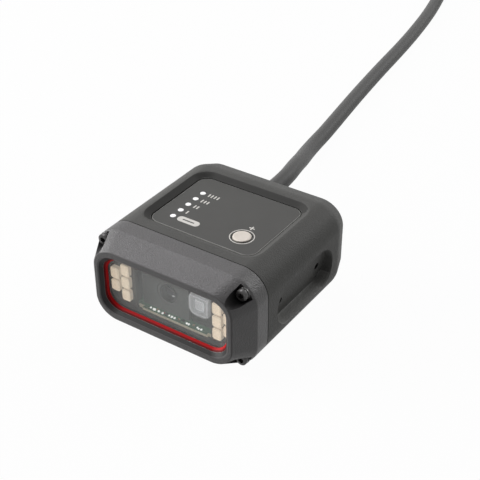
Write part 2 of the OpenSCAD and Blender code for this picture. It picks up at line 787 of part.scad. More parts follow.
// Clear moulding: one post for each status light, joined by a bar on two feet
module light_pipe() color([0.95, 0.97, 0.97, 0.7]) {
    bar_l = (light_count - 1) * light_pitch + pipe_bar_w;
    for (i = [0:light_count - 1])
        translate([light_x, light_at(i), pipe_end_z]) cylinder(h = label_top_z - pipe_end_z, r = light_d / 2);
    translate([light_x, light_y, pipe_bar_z]) linear_extrude(pipe_bar_t)
        rounded(pipe_bar_w, bar_l, pipe_bar_w / 2 - 0.1);
    for (s = [-1, 1])
        translate([light_x, light_y + s * (light_count - 2) * light_pitch / 2, indicator_top_z])
            cylinder(h = pipe_bar_z - indicator_top_z + eps, r = pipe_foot_r);
}

module status_leds() color(cream)
    for (i = [0:light_count - 1]) block(light_x, light_at(i), indicator_top_z, status_led);

module indicator_board() color(board_green) difference() {
    block(0, indicator_y, indicator_top_z - indicator_t, [indicator_w, indicator_l, indicator_t]);
    for (p = roof_posts)
        translate([p[0], label_y + p[1], 0]) cylinder(h = body_h, r = board_screw_r + fit);
}

module indicator_screws() color(steel)
    for (p = roof_posts)
        translate([p[0], label_y + p[1], indicator_top_z - indicator_t - board_head_h]) {
            cylinder(h = board_head_h, r = board_head_r);
            cylinder(h = board_head_h + indicator_t + indicator_drop - 1, r = board_screw_r);
        }

// Moulded sleeve: a flange inside the wall, a neck through it and a grooved taper outside
module strain_relief() {
    inner = -back_wall - relief_flange_t;
    step = (relief_l - 4) / relief_ribs;
    function taper_r(y) = relief_root_r + (relief_tip_r - relief_root_r) * y / relief_l;
    color(black) translate([cable_x, back_y, cable_z]) rotate([-90, 0, 0]) rotate_extrude()
        polygon(concat(
            [[0, inner], [relief_flange_r, inner], [relief_flange_r, -back_wall], [relief_neck_r, -back_wall],
                [relief_neck_r, 0], [relief_root_r, 0], [relief_root_r, 1.5]],
            [for (i = [0:relief_ribs - 1]) for (p = [[0.8, 0], [1, 1], [1.8, 1], [2, 0]])
                [taper_r(1.5 + i * step + p[0]) - p[1] * relief_groove, 1.5 + i * step + p[0]]],
            [[relief_tip_r, relief_l], [0, relief_l]]));
}

// Direction of a route at point i
function heading(p, i) =
    let (a = p[max(i - 1, 0)], b = p[min(i + 1, len(p) - 1)], d = b - a) d / norm(d);

// A round tube swept along a route that never runs straight up
module tube(p, r) {
    n = tube_sides;
    count = len(p);
    points = [for (i = [0:count - 1])
        let (t = heading(p, i), side = cross(t, [0, 0, 1]) / norm(cross(t, [0, 0, 1])), up = cross(side, t))
        for (k = [0:n - 1]) let (a = 360 * (k + 0.5) / n) p[i] + r * (cos(a) * side + sin(a) * up)];
    sides = [for (i = [0:count - 2]) for (k = [0:n - 1])
        let (a = i * n + k, b = i * n + (k + 1) % n) for (f = [[a, b, b + n], [a, b + n, a + n]]) f];
    start = [for (k = [n - 1:-1:0]) k];
    end = [for (k = [0:n - 1]) (count - 1) * n + k];
    polyhedron(points, concat([start, end], sides));
}

module cable_lead() color(dark_grey) tube(lead_points, cable_r);

module cable_tail() color(dark_grey) tube(tail_points, cable_r);

// Outer shape of the coil: two turns side by side on the surface and two more on top of them
module cable_coil() color(dark_grey) translate([coil_at[0], coil_at[1], 0]) rotate_extrude()
    translate([coil_r, 2 * cable_r]) rounded(4 * cable_r, 4 * cable_r, cable_r);

// Strap round the coil, drawn thin where it passes below
module cable_tie() color(black) translate([coil_at[0], coil_at[1], 0]) rotate([90, 0, tie_angle])
    translate([coil_r, 2 * cable_r + tie_t / 2]) linear_extrude(tie_w, center = true) difference() {
        rounded(4 * cable_r + 2 * tie_t, 4 * cable_r + tie_t, cable_r + tie_t);
        translate([0, -tie_t / 4]) rounded(4 * cable_r, 4 * cable_r - tie_t / 2, cable_r);
    }

// Places its children at the end of the lead, with the connector's axis along +Z
module at_connector() {
    translate(connector_at) rotate([0, 90 + connector_tilt, 0]) children();
}

module connector_grip() color(black) at_connector() rotate_extrude()
    polygon([[0, 0], [cable_r + 0.8, 0], [grip_d / 2 - 0.6, 9], [grip_d / 2, 10],
        [grip_d / 2, grip_l - 1], [grip_d / 2 - 1, grip_l], [0, grip_l]]);

module connector_shell() color(steel) at_connector() translate([0, 0, grip_l]) difference() {
    cylinder(h = shell_l, r = shell_r);
    translate([0, 0, -eps]) cylinder(h = shell_l + 2 * eps, r = shell_r - shell_wall);
}

module connector_insert() color(black) at_connector() translate([0, 0, grip_l])
    cylinder(h = insert_t, r = shell_r - shell_wall);

module connector_pins() color([0.8, 0.65, 0.25]) at_connector() translate([0, 0, grip_l + insert_t]) {
    cylinder(h = pin_l, r = pin_r);
    for (i = [0:pin_count - 1])
        rotate([0, 0, i * 360 / pin_count]) translate([pin_ring_r, 0, 0]) cylinder(h = pin_l, r = pin_r);
}

rear_housing();
front_bezel();
housing_seal();
bezel_screws();
window_seal();
window_pane();
window_retainer();
illumination_board();
optics_hood();
camera_housing();
lens_barrel();
front_lens();
rear_lens();
image_sensor();
sensor_board();
aimer_lens();
aimer_holder();
aimer_led();
aimer_board();
engine_screws();
main_board();
board_screws();
processor_chip();
memory_chip();
power_inductor();
supply_capacitors();
main_flex_socket();
indicator_flex_socket();
flex_ribbon();
cable_header();
inner_wires();
top_label();
tune_button();
switch_plunger();
tact_switch();
light_pipe();
status_leds();
indicator_board();
indicator_screws();
strain_relief();
cable_lead();
cable_coil();
cable_tail();
cable_tie();
connector_grip();
connector_shell();
connector_insert();
connector_pins();
for (s = led_sides) for (i = [1:5])
    let (p = led_place(s[1], i)) white_led(p[0], p[1]);
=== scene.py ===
"""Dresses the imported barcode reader: soft-edged shells, lit window, label, lead and a plain white studio."""
import json
from contextlib import contextmanager
from math import atan2, cos, pi, radians, sin, tan

import bpy
from bpy.props import FloatProperty, FloatVectorProperty, PointerProperty
from bpy.types import Operator, Panel, PropertyGroup
from mathutils import Matrix, Vector


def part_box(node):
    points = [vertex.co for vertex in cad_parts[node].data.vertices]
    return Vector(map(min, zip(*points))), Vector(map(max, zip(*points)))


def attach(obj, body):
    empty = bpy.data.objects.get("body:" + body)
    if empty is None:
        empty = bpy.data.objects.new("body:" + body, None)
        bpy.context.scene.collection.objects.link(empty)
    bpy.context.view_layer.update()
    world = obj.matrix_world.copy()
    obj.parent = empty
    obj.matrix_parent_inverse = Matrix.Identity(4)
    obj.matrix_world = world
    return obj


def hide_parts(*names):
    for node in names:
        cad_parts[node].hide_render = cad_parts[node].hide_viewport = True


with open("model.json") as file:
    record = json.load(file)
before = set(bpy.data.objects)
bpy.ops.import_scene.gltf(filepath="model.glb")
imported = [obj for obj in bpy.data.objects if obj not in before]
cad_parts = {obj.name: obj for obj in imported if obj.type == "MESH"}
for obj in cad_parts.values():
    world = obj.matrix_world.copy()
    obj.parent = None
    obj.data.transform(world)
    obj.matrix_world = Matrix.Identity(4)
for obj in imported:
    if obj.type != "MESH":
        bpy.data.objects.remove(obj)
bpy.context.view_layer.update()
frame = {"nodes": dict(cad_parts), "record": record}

bl_info = {
    "name": "Barcode Reader Dressing",
    "version": (1, 0, 0),
    "blender": (4, 5, 0),
    "location": "View3D > Sidebar > Reader",
    "description": "Models the reader's shells, optics, label and lead on its CAD frame",
    "category": "Object",
}

MM = 0.001
TINY = 0.02 * MM

# The lead's route in millimetres, from the strain relief to the coil, and from the coil to the connector
LEAD_ROUTE = [
    (-12.4, 47, 12), (-12.4, 54, 12), (-13, 62, 11.9), (-15.5, 72, 10.5), (-18.5, 82, 8), (-21.8, 92, 5.5),
    (-24.2, 102, 4), (-26, 113, 3.3), (-27.7, 124, 3.2), (-29.7, 137, 3.2), (-31.8, 151, 3.2),
    (-34, 167, 3.2), (-36.2, 184, 3.2), (-38.2, 201, 3.2), (-40.4, 218, 3.2), (-43, 235, 3.2),
    (-46, 252, 3.2), (-49.4, 268, 3.2), (-53.4, 284, 3.2), (-58, 301, 3.2), (-63, 318, 3.2),
    (-69, 337.5, 3.2),
]
TAIL_ROUTE = [(-29.42, 384.99, 9.6), (-20.42, 384.99, 9.6), (-10.42, 384.99, 8.85)]
COIL_CENTRE = (-33.92, 348.29)

# The stretches, in turns of the coil, where the lead steps inward, onto the next layer and outward again
STEP_IN, STEP_UP, STEP_OUT = (0.82, 1.0), (1.67, 1.85), (2.53, 2.71)

# The side pockets by the mount in each, with the side of the reader that it is on
SIDE_MOUNTS = (("right_side_mount", 1), ("left_side_mount", -1))

# A side pocket's wall: how far in from the pocket's outline, and how deep as a share of its depth
POCKET_WALL = [(inset * MM, share) for inset, share in (
    (-0.4, -0.04), (-0.1, 0.03), (0.1, 0.14), (0.4, 0.4), (0.65, 0.68), (0.85, 0.9), (1.0, 0.97),
    (1.3, 1.0))]

# A side pocket's floor: how far it leans inward at its foot, and how much deeper it lies than the CAD's
POCKET_LEAN = radians(10)
POCKET_EXTRA = 0.6 * MM

# How round a side pocket's ends are, as a share of half its height
POCKET_ROUND = 0.94

# The label recess's wall in the same way, with the groove at its foot
RECESS_WALL = [(inset * MM, share) for inset, share in (
    (-0.9, -0.03), (-0.4, 0.02), (0.1, 0.1), (0.6, 0.26), (1.1, 0.5), (1.7, 0.74), (2.0, 0.86), (2.2, 0.9),
    (2.25, 1.4), (2.75, 1.4), (2.8, 1.0))]

# The status lights: how many, their openings' radius, and how far inside the LEDs' box the outer ones are
LIGHT_COUNT = 5
LIGHT_OPENING = 1.05 * MM
LIGHT_MARGIN = 0.45 * MM

# Radii of the openings for the button in the housing and in the label, for the lead and for a bezel screw
BUTTON_OPENING = 3.08 * MM
LABEL_OPENING = 3.3 * MM
LEAD_OPENING = 4.17 * MM
SCREW_OPENING = 1.1 * MM

# Thickness of the print on the label
INK = 0.02 * MM

# Small parts along the main board's front, in millimetres: finish, middle across, way back, width and height
BOARD_PARTS = [
    ("solder", -9.9, 0.9, 0.4, 0.3), ("solder", -8.3, 0.6, 0.8, 0.55), ("ceramic", -7.5, 1.3, 0.6, 0.4),
    ("solder", -6.6, 0.7, 0.5, 0.4), ("solder", -5.0, 0.6, 0.5, 0.35), ("red_die", -4.6, 1.1, 0.5, 0.3),
    ("chip_black", -3.8, 0.9, 0.9, 0.5), ("solder", -2.6, 0.8, 0.35, 0.3), ("solder", -1.5, 0.7, 0.5, 0.4),
    ("solder", -0.4, 0.7, 0.5, 0.35), ("ceramic", 1.1, 1.0, 0.6, 0.45), ("chip_black", 2.6, 1.2, 1.1, 0.5),
    ("solder", 4.3, 0.7, 0.45, 0.35), ("solder", 5.1, 0.7, 0.45, 0.35), ("ceramic", 6.6, 1.2, 0.6, 0.4),
    ("solder", 8.2, 0.9, 0.35, 0.3), ("solder", 8.9, 0.6, 0.35, 0.3), ("solder", 9.8, 0.7, 0.5, 0.35),
]

# The studio: the camera's sensor in millimetres, the floor's width, and the place that the lights face
SENSOR_WIDTH = 36
FLOOR_WIDTH = 6
READER_MIDDLE = Vector((0, 0, 0.016))


def linear(red, green, blue):
    """A colour given as screen values from 0 to 255, in the linear values that shaders use."""
    shares = (red / 255, green / 255, blue / 255)
    return tuple(s / 12.92 if s <= 0.04045 else ((s + 0.055) / 1.055) ** 2.4 for s in shares)


def shade(colour, factor):
    """A colour made lighter or darker."""
    return tuple(min(1.0, c * factor) for c in colour)


def length_of(name, description, millimetres):
    """A length property whose default is given in millimetres."""
    return FloatProperty(name=name, description=description, default=millimetres * MM, min=0.0,
                         subtype="DISTANCE", unit="LENGTH", precision=5)


def angle_of(name, description, degrees):
    """An angle property whose default is given in degrees."""
    return FloatProperty(name=name, description=description, default=radians(degrees), min=0.0,
                         subtype="ANGLE", unit="ROTATION")


def colour_of(name, description, red, green, blue):
    """A colour property whose default is given in screen values."""
    return FloatVectorProperty(name=name, description=description, default=linear(red, green, blue),
                               min=0.0, max=1.0, size=3, subtype="COLOR")


def power_of(name, description, watts):
    """A light's power property."""
    return FloatProperty(name=name, description=description, default=watts, min=0.0, unit="POWER")


class ReaderSizes(PropertyGroup):
    """Sizes of the dressed pieces that the frame's boxes don't give"""
    corner_radius: length_of("Corner radius", "Radius of the body's long corners", 9)
    back_taper: length_of("Back taper", "How far the housing's back end draws in on every side", 2.1)
    back_taper_length: length_of("Back taper length", "Length over which the back end draws in", 6)
    wall: length_of("Wall", "Thickness of the housing's walls", 3)
    back_wall: length_of("Back wall", "Thickness of the housing's back wall", 3.2)
    shell_edge: length_of("Shell edge", "Softness of the shells' edges", 0.45)
    recess_slope: length_of("Recess slope", "Slope of the label recess's walls, measured across", 2.2)
    recess_radius: length_of("Recess radius", "Corner radius of the label recess", 6.2)
    label_gap: length_of("Label gap", "Gap between the label and the foot of the recess's walls", 0.2)
    label_radius: length_of("Label radius", "Corner radius of the label", 3.8)
    pocket_length: length_of("Pocket length", "Length of a side pocket", 32.8)
    pocket_height: length_of("Pocket height", "Height of a side pocket", 14.6)
    hole_depth: length_of("Hole depth", "Depth of a mounting hole", 5)
    flange_length: length_of("Flange length", "Length of the bezel's full-size band", 5.6)
    slope_side: length_of("Side slope", "How far the bezel's slope draws in each side", 4.1)
    slope_top: length_of("Top slope", "How far the bezel's slope draws in the top and bottom", 3.2)
    rim_side: length_of("Side rim", "Width of the rim at the sides", 1.6)
    rim_top: length_of("Top rim", "Width of the rim at the top and bottom", 2)
    mouth_taper: length_of("Mouth taper", "How far the mouth's walls draw in", 1.3)
    pocket_radius: length_of("Window pocket radius", "Corner radius of the pocket behind the mouth", 6.6)
    notch_radius: length_of("Notch radius", "Radius of the notch round a screw head", 2.6)
    notch_flare: angle_of("Notch flare", "Angle that each side of a notch opens by toward the corner", 16)
    seal_width: length_of("Seal width", "Width of the window seal where it meets the pane", 1.5)
    seal_mouth: length_of("Seal mouth", "Width of the window seal at its front", 0.75)
    screw_head: length_of("Screw head", "Radius of a bezel screw's head", 1.9)
    screw_head_height: length_of("Screw head height", "Height of a bezel screw's head", 2)
    screw_shank: length_of("Screw shank", "Radius of a bezel screw's shank", 1)
    cable_diameter: length_of("Cable diameter", "Diameter of the lead", 6.4)
    coil_radius: length_of("Coil radius", "Radius of the coil at the middle of its turns", 33.5)


class ReaderColours(PropertyGroup):
    """Colours of the reader's finishes"""
    housing: colour_of("Housing", "Moulded rear housing", 70, 70, 68)
    bezel: colour_of("Bezel", "Moulded front bezel", 68, 67, 67)
    label: colour_of("Label", "Film of the top label", 70, 70, 68)
    marks: colour_of("Marks", "Print on the label", 196, 194, 188)
    lights: colour_of("Status lights", "Tips of the light pipe", 250, 250, 247)
    button: colour_of("Button", "Cap of the button", 204, 197, 187)
    seal: colour_of("Window seal", "Red seal round the window", 186, 16, 22)
    lamps: colour_of("Lamps", "Packages of the white LEDs", 250, 232, 206)
    optics: colour_of("Optics", "Grey camera housing", 120, 124, 121)
    cable: colour_of("Cable", "Jacket of the lead", 76, 76, 75)


class StudioSettings(PropertyGroup):
    """Camera and light of the studio"""
    camera_place: FloatVectorProperty(name="Camera place", description="Where the camera stands", size=3,
                                      default=(0.15941, -0.22474, 0.20966), subtype="XYZ", unit="LENGTH")
    camera_aim: FloatVectorProperty(name="Camera aim", description="Direction that the camera looks in",
                                    default=(-0.4627, 0.6870, -0.5604), size=3, subtype="DIRECTION")
    focal_length: FloatProperty(name="Focal length", description="Focal length on a 36 mm sensor",
                                default=78.29, unit="CAMERA")
    key_power: power_of("Key power", "Power of the main softbox", 4.2)
    side_power: power_of("Side power", "Power of the left softbox", 9.5)
    back_power: power_of("Back power", "Power of the rear softbox", 4.2)
    room_light: FloatProperty(name="Room light", description="Strength of the even light all round",
                              default=0.03, min=0.0)


class Value:
    """One output of a shader node; arithmetic on it adds Math nodes."""

    def __init__(self, finish, socket):
        self.finish = finish
        self.socket = socket

    def maths(self, operation, first, second):
        return self.finish.add("ShaderNodeMath", {"operation": operation}, {0: first, 1: second})

    def __add__(self, other):
        return self.maths("ADD", self, other)

    def __sub__(self, other):
        return self.maths("SUBTRACT", self, other)

    def __rsub__(self, other):
        return self.maths("SUBTRACT", other, self)

    def __mul__(self, other):
        return self.maths("MULTIPLY", self, other)

    def __gt__(self, other):
        return self.maths("GREATER_THAN", self, other)

    def __lt__(self, other):
        return self.maths("LESS_THAN", self, other)


class Finish:
    """A material, or a world, being built from nodes."""

    def __init__(self, name, library="materials"):
        self.material = getattr(bpy.data, library).new(name)
        self.material.use_nodes = True
        self.tree = self.material.node_tree
        self.tree.nodes.clear()

    def add(self, kind, settings=None, inputs=None, output=0):
        """Adds a node with its settings, then its values and links, and gives one of its outputs."""
        node = self.tree.nodes.new(kind)
        for key, value in (settings or {}).items():
            setattr(node, key, value)
        for key, value in (inputs or {}).items():
            if isinstance(value, Value):
                self.tree.links.new(value.socket, node.inputs[key])
            else:
                node.inputs[key].default_value = value
        return Value(self, node.outputs[output]) if node.outputs else None

    def place(self):
        """Where a point is on the object."""
        return self.add("ShaderNodeTexCoord", output="Object")

    def facing(self):
        """Which way the surface looks at a point."""
        return self.add("ShaderNodeNewGeometry", output="Normal")

    def part(self, vector, axis):
        """One part of a vector, along X, Y or Z."""
        return self.add("ShaderNodeSeparateXYZ", {}, {"Vector": vector}, output=axis)

    def vector(self, operation, *inputs, output=0):
        """The result of a Vector Math node."""
        return self.add("ShaderNodeVectorMath", {"operation": operation}, dict(enumerate(inputs)), output)

    def noise(self, grain, detail=2.0):
        """Cloudy values from 0 to 1 whose spots are about as wide as grain."""
        return self.add("ShaderNodeTexNoise", {},
                        {"Vector": self.place(), "Scale": 1 / grain, "Detail": detail})

    def mix(self, factor, first, second):
        """A colour between two colours."""
        first, second = (c if isinstance(c, Value) else (*c, 1.0) for c in (first, second))
        return self.add("ShaderNodeMix", {"data_type": "RGBA"}, {0: factor, 6: first, 7: second}, output=2)

    def tones(self, factor, colour, first, second):
        """A colour between two shades of one colour."""
        return self.mix(factor, shade(colour, first), shade(colour, second))

    def bump(self, height, distance):
        """A normal raised by a height from 0 to 1 over a distance."""
        return self.add("ShaderNodeBump", {}, {"Height": height, "Distance": distance})

    def surface(self, **inputs):
        """Ends the material with one principled surface, whose inputs are named with underscores."""
        named = {key.replace("_", " "): value for key, value in inputs.items()}
        for key in ("Base Color", "Emission Color"):
            if key in named and not isinstance(named[key], Value):
                named[key] = (*named[key], 1.0)
        self.close(self.add("ShaderNodeBsdfPrincipled", {}, named))
        return self.material

    def close(self, shader):
        """Joins a shader to the material's output."""
        self.add("ShaderNodeOutputMaterial", {}, {"Surface": shader})


def moulded_shell(name, colour, grain, depth, roughness, shine=0.2):
    """Textured moulding: fine even grain, faint flow clouds and a slight change of gloss."""
    finish = Finish(name)
    clouds = finish.noise(9 * MM, 3.0)
    grains = finish.noise(grain, 1.5)
    tone = finish.tones(clouds * 0.7 + grains * 0.3, colour, 0.86, 1.14)
    return finish.surface(Base_Color=tone, Roughness=grains * 0.22 + (roughness - 0.11),
                          Specular_IOR_Level=shine, Normal=finish.bump(grains, depth))


def smooth_plastic(name, colour, roughness, glow=0.0):
    """Plain moulding with a soft sheen and a barely uneven skin, and as much painted glow as asked for."""
    finish = Finish(name)
    clouds = finish.noise(2.5 * MM)
    tone = finish.tones(clouds, colour, 0.9, 1.1)
    return finish.surface(Base_Color=tone, Roughness=clouds * 0.16 + (roughness - 0.08), Emission_Color=tone,
                          Emission_Strength=glow, Normal=finish.bump(clouds, 0.01 * MM))


def soft_rubber(name, colour):
    """Matt rubber with a dusty bloom."""
    finish = Finish(name)
    bloom = finish.noise(1.2 * MM, 4.0)
    return finish.surface(Base_Color=finish.tones(bloom, colour, 1.0, 1.6), Roughness=bloom * 0.2 + 0.6,
                          Normal=finish.bump(bloom, 0.02 * MM))


def drawn_metal(name, colour, roughness):
    """Bare or plated metal with fine tool marks."""
    finish = Finish(name)
    marks = finish.noise(0.35 * MM, 3.0)
    return finish.surface(Base_Color=finish.tones(marks, colour, 0.8, 1.0), Metallic=1.0,
                          Roughness=marks * 0.2 + (roughness - 0.1), Normal=finish.bump(marks, 0.01 * MM))


def clear_moulding(name, colour, alpha, roughness, glow=0.0):
    """Clear plastic or glass that lets what is behind it through, with as much painted glow as asked for."""
    finish = Finish(name)
    haze = finish.noise(4 * MM)
    tone = finish.tones(haze, colour, 0.92, 1.0)
    return finish.surface(Base_Color=tone, Roughness=haze * 0.04 + roughness, Coat_Weight=0.3,
                          Alpha=haze * 0.04 + (alpha - 0.02), Emission_Color=tone, Emission_Strength=glow)


def solder_mask(name, colour, edge, glow=0.0):
    """Circuit board: mask with raised tracks, a bare laminate edge, and as much painted glow as asked for."""
    finish = Finish(name)
    tracks = finish.add("ShaderNodeTexBrick", {}, {
        "Vector": finish.place(), "Scale": 1 / (3 * MM), "Mortar Size": 0.06, "Color1": (0, 0, 0, 1),
        "Color2": (0.25, 0.25, 0.25, 1), "Mortar": (1, 1, 1, 1)})
    upward = finish.part(finish.facing(), "Z")
    flat = upward * upward > 0.5
    tone = finish.mix(flat, edge, finish.tones(tracks, colour, 1.0, 1.7))
    return finish.surface(Base_Color=tone, Roughness=0.55 - flat * 0.2, Emission_Color=tone,
                          Emission_Strength=glow, Normal=finish.bump(tracks, 0.03 * MM))


def seal_rubber(name, colour, front):
    """Coloured rubber with a painted shadow in a band near its front."""
    finish = Finish(name)
    bloom = finish.noise(1.2 * MM, 3.0)
    shadow = 0.45 * MM
    depth = finish.part(finish.place(), "Y") - front
    # Within the band near the front the red darkens to three tenths: painted shadow
    tone = finish.mix(depth > shadow, shade(colour, 0.3), finish.tones(bloom, colour, 0.9, 1.1))
    return finish.surface(Base_Color=tone, Roughness=bloom * 0.2 + 0.5, Specular_IOR_Level=0.15,
                          Normal=finish.bump(bloom, 0.02 * MM))


def square_optic(name, colour, centre, half):
    """Clear moulding with painted light: lighter and darker soft-square bands round a centre, and a painted
    glow.
    """
    finish = Finish(name)
    haze = finish.noise(1.5 * MM)
    away = finish.vector("ABSOLUTE", finish.vector("SUBTRACT", finish.place(), centre))
    across = finish.part(away, "X")
    reach = across.maths("MAXIMUM", across, finish.part(away, "Z")) * (1 / half)
    tone = finish.tones(haze, colour, 0.42, 0.5)
    # Soft-square bands of lighter and darker tone round the centre: painted light
    for limit, factor in ((0.82, 0.75), (0.72, 0.55), (0.42, 0.95), (0.34, 0.75)):
        tone = finish.mix(reach < limit, tone, shade(colour, factor))
    return finish.surface(Base_Color=tone, Roughness=haze * 0.1 + 0.08, Alpha=haze * 0.1 + 0.8,
                          Coat_Weight=0.3, Emission_Color=tone, Emission_Strength=0.45)


def lens_coat(name, colour, glint):
    """Dark coated glass with a faint painted glow and one small painted glint."""
    finish = Finish(name)
    haze = finish.noise(1.5 * MM)
    glint_size = 0.32 * MM
    # A small spot round the glint point glows bright: a painted glint
    shift = finish.vector("SUBTRACT", finish.place(), glint)
    flat = finish.vector("MULTIPLY", shift, (0.45, 0.0, 1.0))
    spot = finish.vector("LENGTH", flat, output="Value") < glint_size
    glow = finish.mix(spot, shade(colour, 0.2), (0.85, 0.85, 0.85))
    return finish.surface(Base_Color=finish.tones(haze, colour, 0.8, 1.2), Roughness=haze * 0.05 + 0.03,
                          Alpha=haze * 0.1 + 0.85, Emission_Color=glow, Emission_Strength=1.0)


def phosphor(name, colour):
    """Pale LED package with warm, uneven phosphor, painted shade on its sides and a painted glow all over."""
    finish = Finish(name)
    specks = finish.noise(0.5 * MM, 3.0)
    # Faces that don't look forward are darkened to half: painted shade
    forward = finish.part(finish.facing(), "Y") < -0.6
    warm = finish.mix(forward, shade(colour, 0.5), finish.tones(specks, colour, 0.85, 1.0))
    return finish.surface(Base_Color=warm, Roughness=specks * 0.2 + 0.3, Emission_Color=warm,
                          Emission_Strength=0.85, Normal=finish.bump(specks, 0.03 * MM))


def cable_jacket(name, colour):
    """Extruded jacket: satin skin with faint mottling."""
    finish = Finish(name)
    mottle = finish.noise(1.5 * MM, 3.0)
    return finish.surface(Base_Color=finish.tones(mottle, colour, 0.88, 1.12), Roughness=mottle * 0.2 + 0.42,
                          Specular_IOR_Level=0.2, Normal=finish.bump(mottle, 0.04 * MM))


def in_picture(finish):
    """One for rays from the camera and for mirrored and refracted ones, nought for the rest."""
    unseen = 1
    for kind in ("Is Camera Ray", "Is Glossy Ray", "Is Transmission Ray"):
        unseen = (1 - finish.add("ShaderNodeLightPath", output=kind)) * unseen
    return 1 - unseen


def white_floor(name):
    """White studio floor that stays white in the picture and keeps a faint shadow."""
    finish = Finish(name)
    paper, own_light = 0.54, 0.97
    seen = in_picture(finish)
    lit = finish.add("ShaderNodeBsdfDiffuse", {}, {"Color": (paper, paper, paper, 1.0)})
    glow = finish.add("ShaderNodeEmission", {}, {"Color": (1.0, 1.0, 1.0, 1.0), "Strength": 1.0})
    finish.close(finish.add("ShaderNodeMixShader", {}, {0: seen * own_light, 1: lit, 2: glow}))
    return finish.material


def white_room(name, strength):
    """Even light all round that shows as white in the picture and in what mirrors it."""
    room = Finish(name, "worlds")
    seen = in_picture(room)
    light = room.add("ShaderNodeBackground", {}, {"Color": (1.0, 1.0, 1.0, 1.0),
                                                  "Strength": seen * (1 - strength) + strength})
    room.add("ShaderNodeOutputWorld", {}, {"Surface": light})
    return room.material


def middle_of(node):
    """The middle of a node's box."""
    low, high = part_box(node)
    return (low + high) / 2


def make_finishes(colours):
    """Every finish of the reader by its name, which for most of them is a slot of the record."""
    aimer_low, aimer_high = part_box("aimer_lens")
    glint = middle_of("lens_barrel") + Vector((1.2 * MM, 0, -1.3 * MM))
    shelf, shadow = shade(colours.housing, 1.7), shade(colours.housing, 0.58)
    return {
        "housing": moulded_shell("housing_moulding", colours.housing, 0.42 * MM, 0.14 * MM, 0.56),
        # A lighter copy of the housing's moulding: painted light on the side pockets' lower walls
        "pocket_shelf_painted_light": moulded_shell("pocket_shelf_painted_light", shelf, 0.34 * MM, 0.1 * MM, 0.5, shine=0.3),
        "recess_shade": moulded_shell("recess_shade", shadow, 0.28 * MM, 0.05 * MM, 0.56, shine=0.1),
        "bezel": moulded_shell("bezel_moulding", colours.bezel, 0.42 * MM, 0.19 * MM, 0.42, shine=0.47),
        # A lighter copy of the bezel's moulding: painted highlight on its rounded front edges
        "bezel_edge_painted_highlight": moulded_shell("bezel_edge_painted_highlight", shade(colours.bezel, 1.6), 0.34 * MM, 0.02 * MM, 0.36),
        # A darker copy of the bezel's moulding: the mouth's darker walls, and painted shade inside the screw
        # notches
        "mouth": moulded_shell("mouth_dark_notch_shade", shade(colours.bezel, 0.4), 0.34 * MM, 0.04 * MM, 0.5),
        "label": moulded_shell("label_film", colours.label, 0.16 * MM, 0.012 * MM, 0.5),
        # A much lighter copy of the label film: painted highlight on the film's rounded top edges
        "label_edge_painted_highlight": moulded_shell("label_edge_painted_highlight", shade(colours.label, 3.6), 0.16 * MM, 0.01 * MM, 0.4),
        "seal_black": soft_rubber("black_rubber", linear(26, 26, 26)),
        "screw_black": smooth_plastic("black_oxide", linear(66, 65, 64), 0.28),
        "window_red": seal_rubber("red_seal", colours.seal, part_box("window_seal")[0].y),
        # The pane's faint painted glow lightens what shows through it
        "window_clear": clear_moulding("window_clear", linear(164, 166, 164), 0.28, 0.08, glow=0.05),
        "black_plastic": smooth_plastic("black_plastic", linear(34, 34, 34), 0.45),
        "board_black": solder_mask("black_mask", linear(46, 48, 47), linear(70, 66, 58)),
        "camera_grey": smooth_plastic("optics_grey", colours.optics, 0.5),
        "barrel_black": smooth_plastic("barrel_black", linear(40, 40, 41), 0.4),
        "lens_glass": lens_coat("lens_glass", linear(58, 60, 66), glint),
        "sensor_dark": smooth_plastic("sensor_cover", linear(30, 30, 44), 0.15),
        # The green board carries a painted glow
        "board_green": solder_mask("green_mask", linear(44, 84, 58), linear(214, 204, 178), glow=0.3),
        # The aiming optic's bands and glow are painted light
        "clear_plastic": square_optic("clear_optic", linear(240, 242, 244), (aimer_low + aimer_high) / 2,
                                      (aimer_high.x - aimer_low.x) / 2),
        "red_die": smooth_plastic("red_die", linear(190, 36, 34), 0.25),
        "steel": drawn_metal("plain_steel", linear(190, 190, 192), 0.34),
        "chip_black": smooth_plastic("chip_black", linear(38, 38, 40), 0.5),
        "socket_cream": smooth_plastic("socket_cream", linear(226, 216, 196), 0.45),
        "flex_amber": smooth_plastic("flex_amber", linear(176, 112, 44), 0.35),
        "wire": smooth_plastic("wire_skin", linear(168, 148, 70), 0.4),
        "button_white": smooth_plastic("button_cap", colours.button, 0.4),
        # The LEDs' darker sides and their glow are painted shade and painted light
        "led_cream": phosphor("lamp_cream", colours.lamps),
        "cable": cable_jacket("cable_jacket", colours.cable),
        "pin_gold": drawn_metal("gold_plate", linear(222, 184, 104), 0.25),
        "print": smooth_plastic("print_pale", colours.marks, 0.5),
        "print_dark": smooth_plastic("print_dark", linear(48, 48, 46), 0.5),
        "tip_white": smooth_plastic("tip_white", colours.lights, 0.3),
        # The solder joints carry a strong painted glow: painted glints
        "solder": smooth_plastic("solder_joints", linear(250, 250, 246), 0.25, glow=1.1),
        "ceramic": smooth_plastic("ceramic_tan", linear(190, 160, 116), 0.4),
    }


FINISHES = {}


def alone(obj):
    """Selects one object and makes it the active one."""
    bpy.ops.object.select_all(action="DESELECT")
    obj.select_set(True)
    bpy.context.view_layer.objects.active = obj
    return obj


def settle(obj):
    """Moves an object's place, turn and scale into its mesh."""
    alone(obj)
    bpy.ops.object.transform_apply(location=True, rotation=True, scale=True)
    return obj


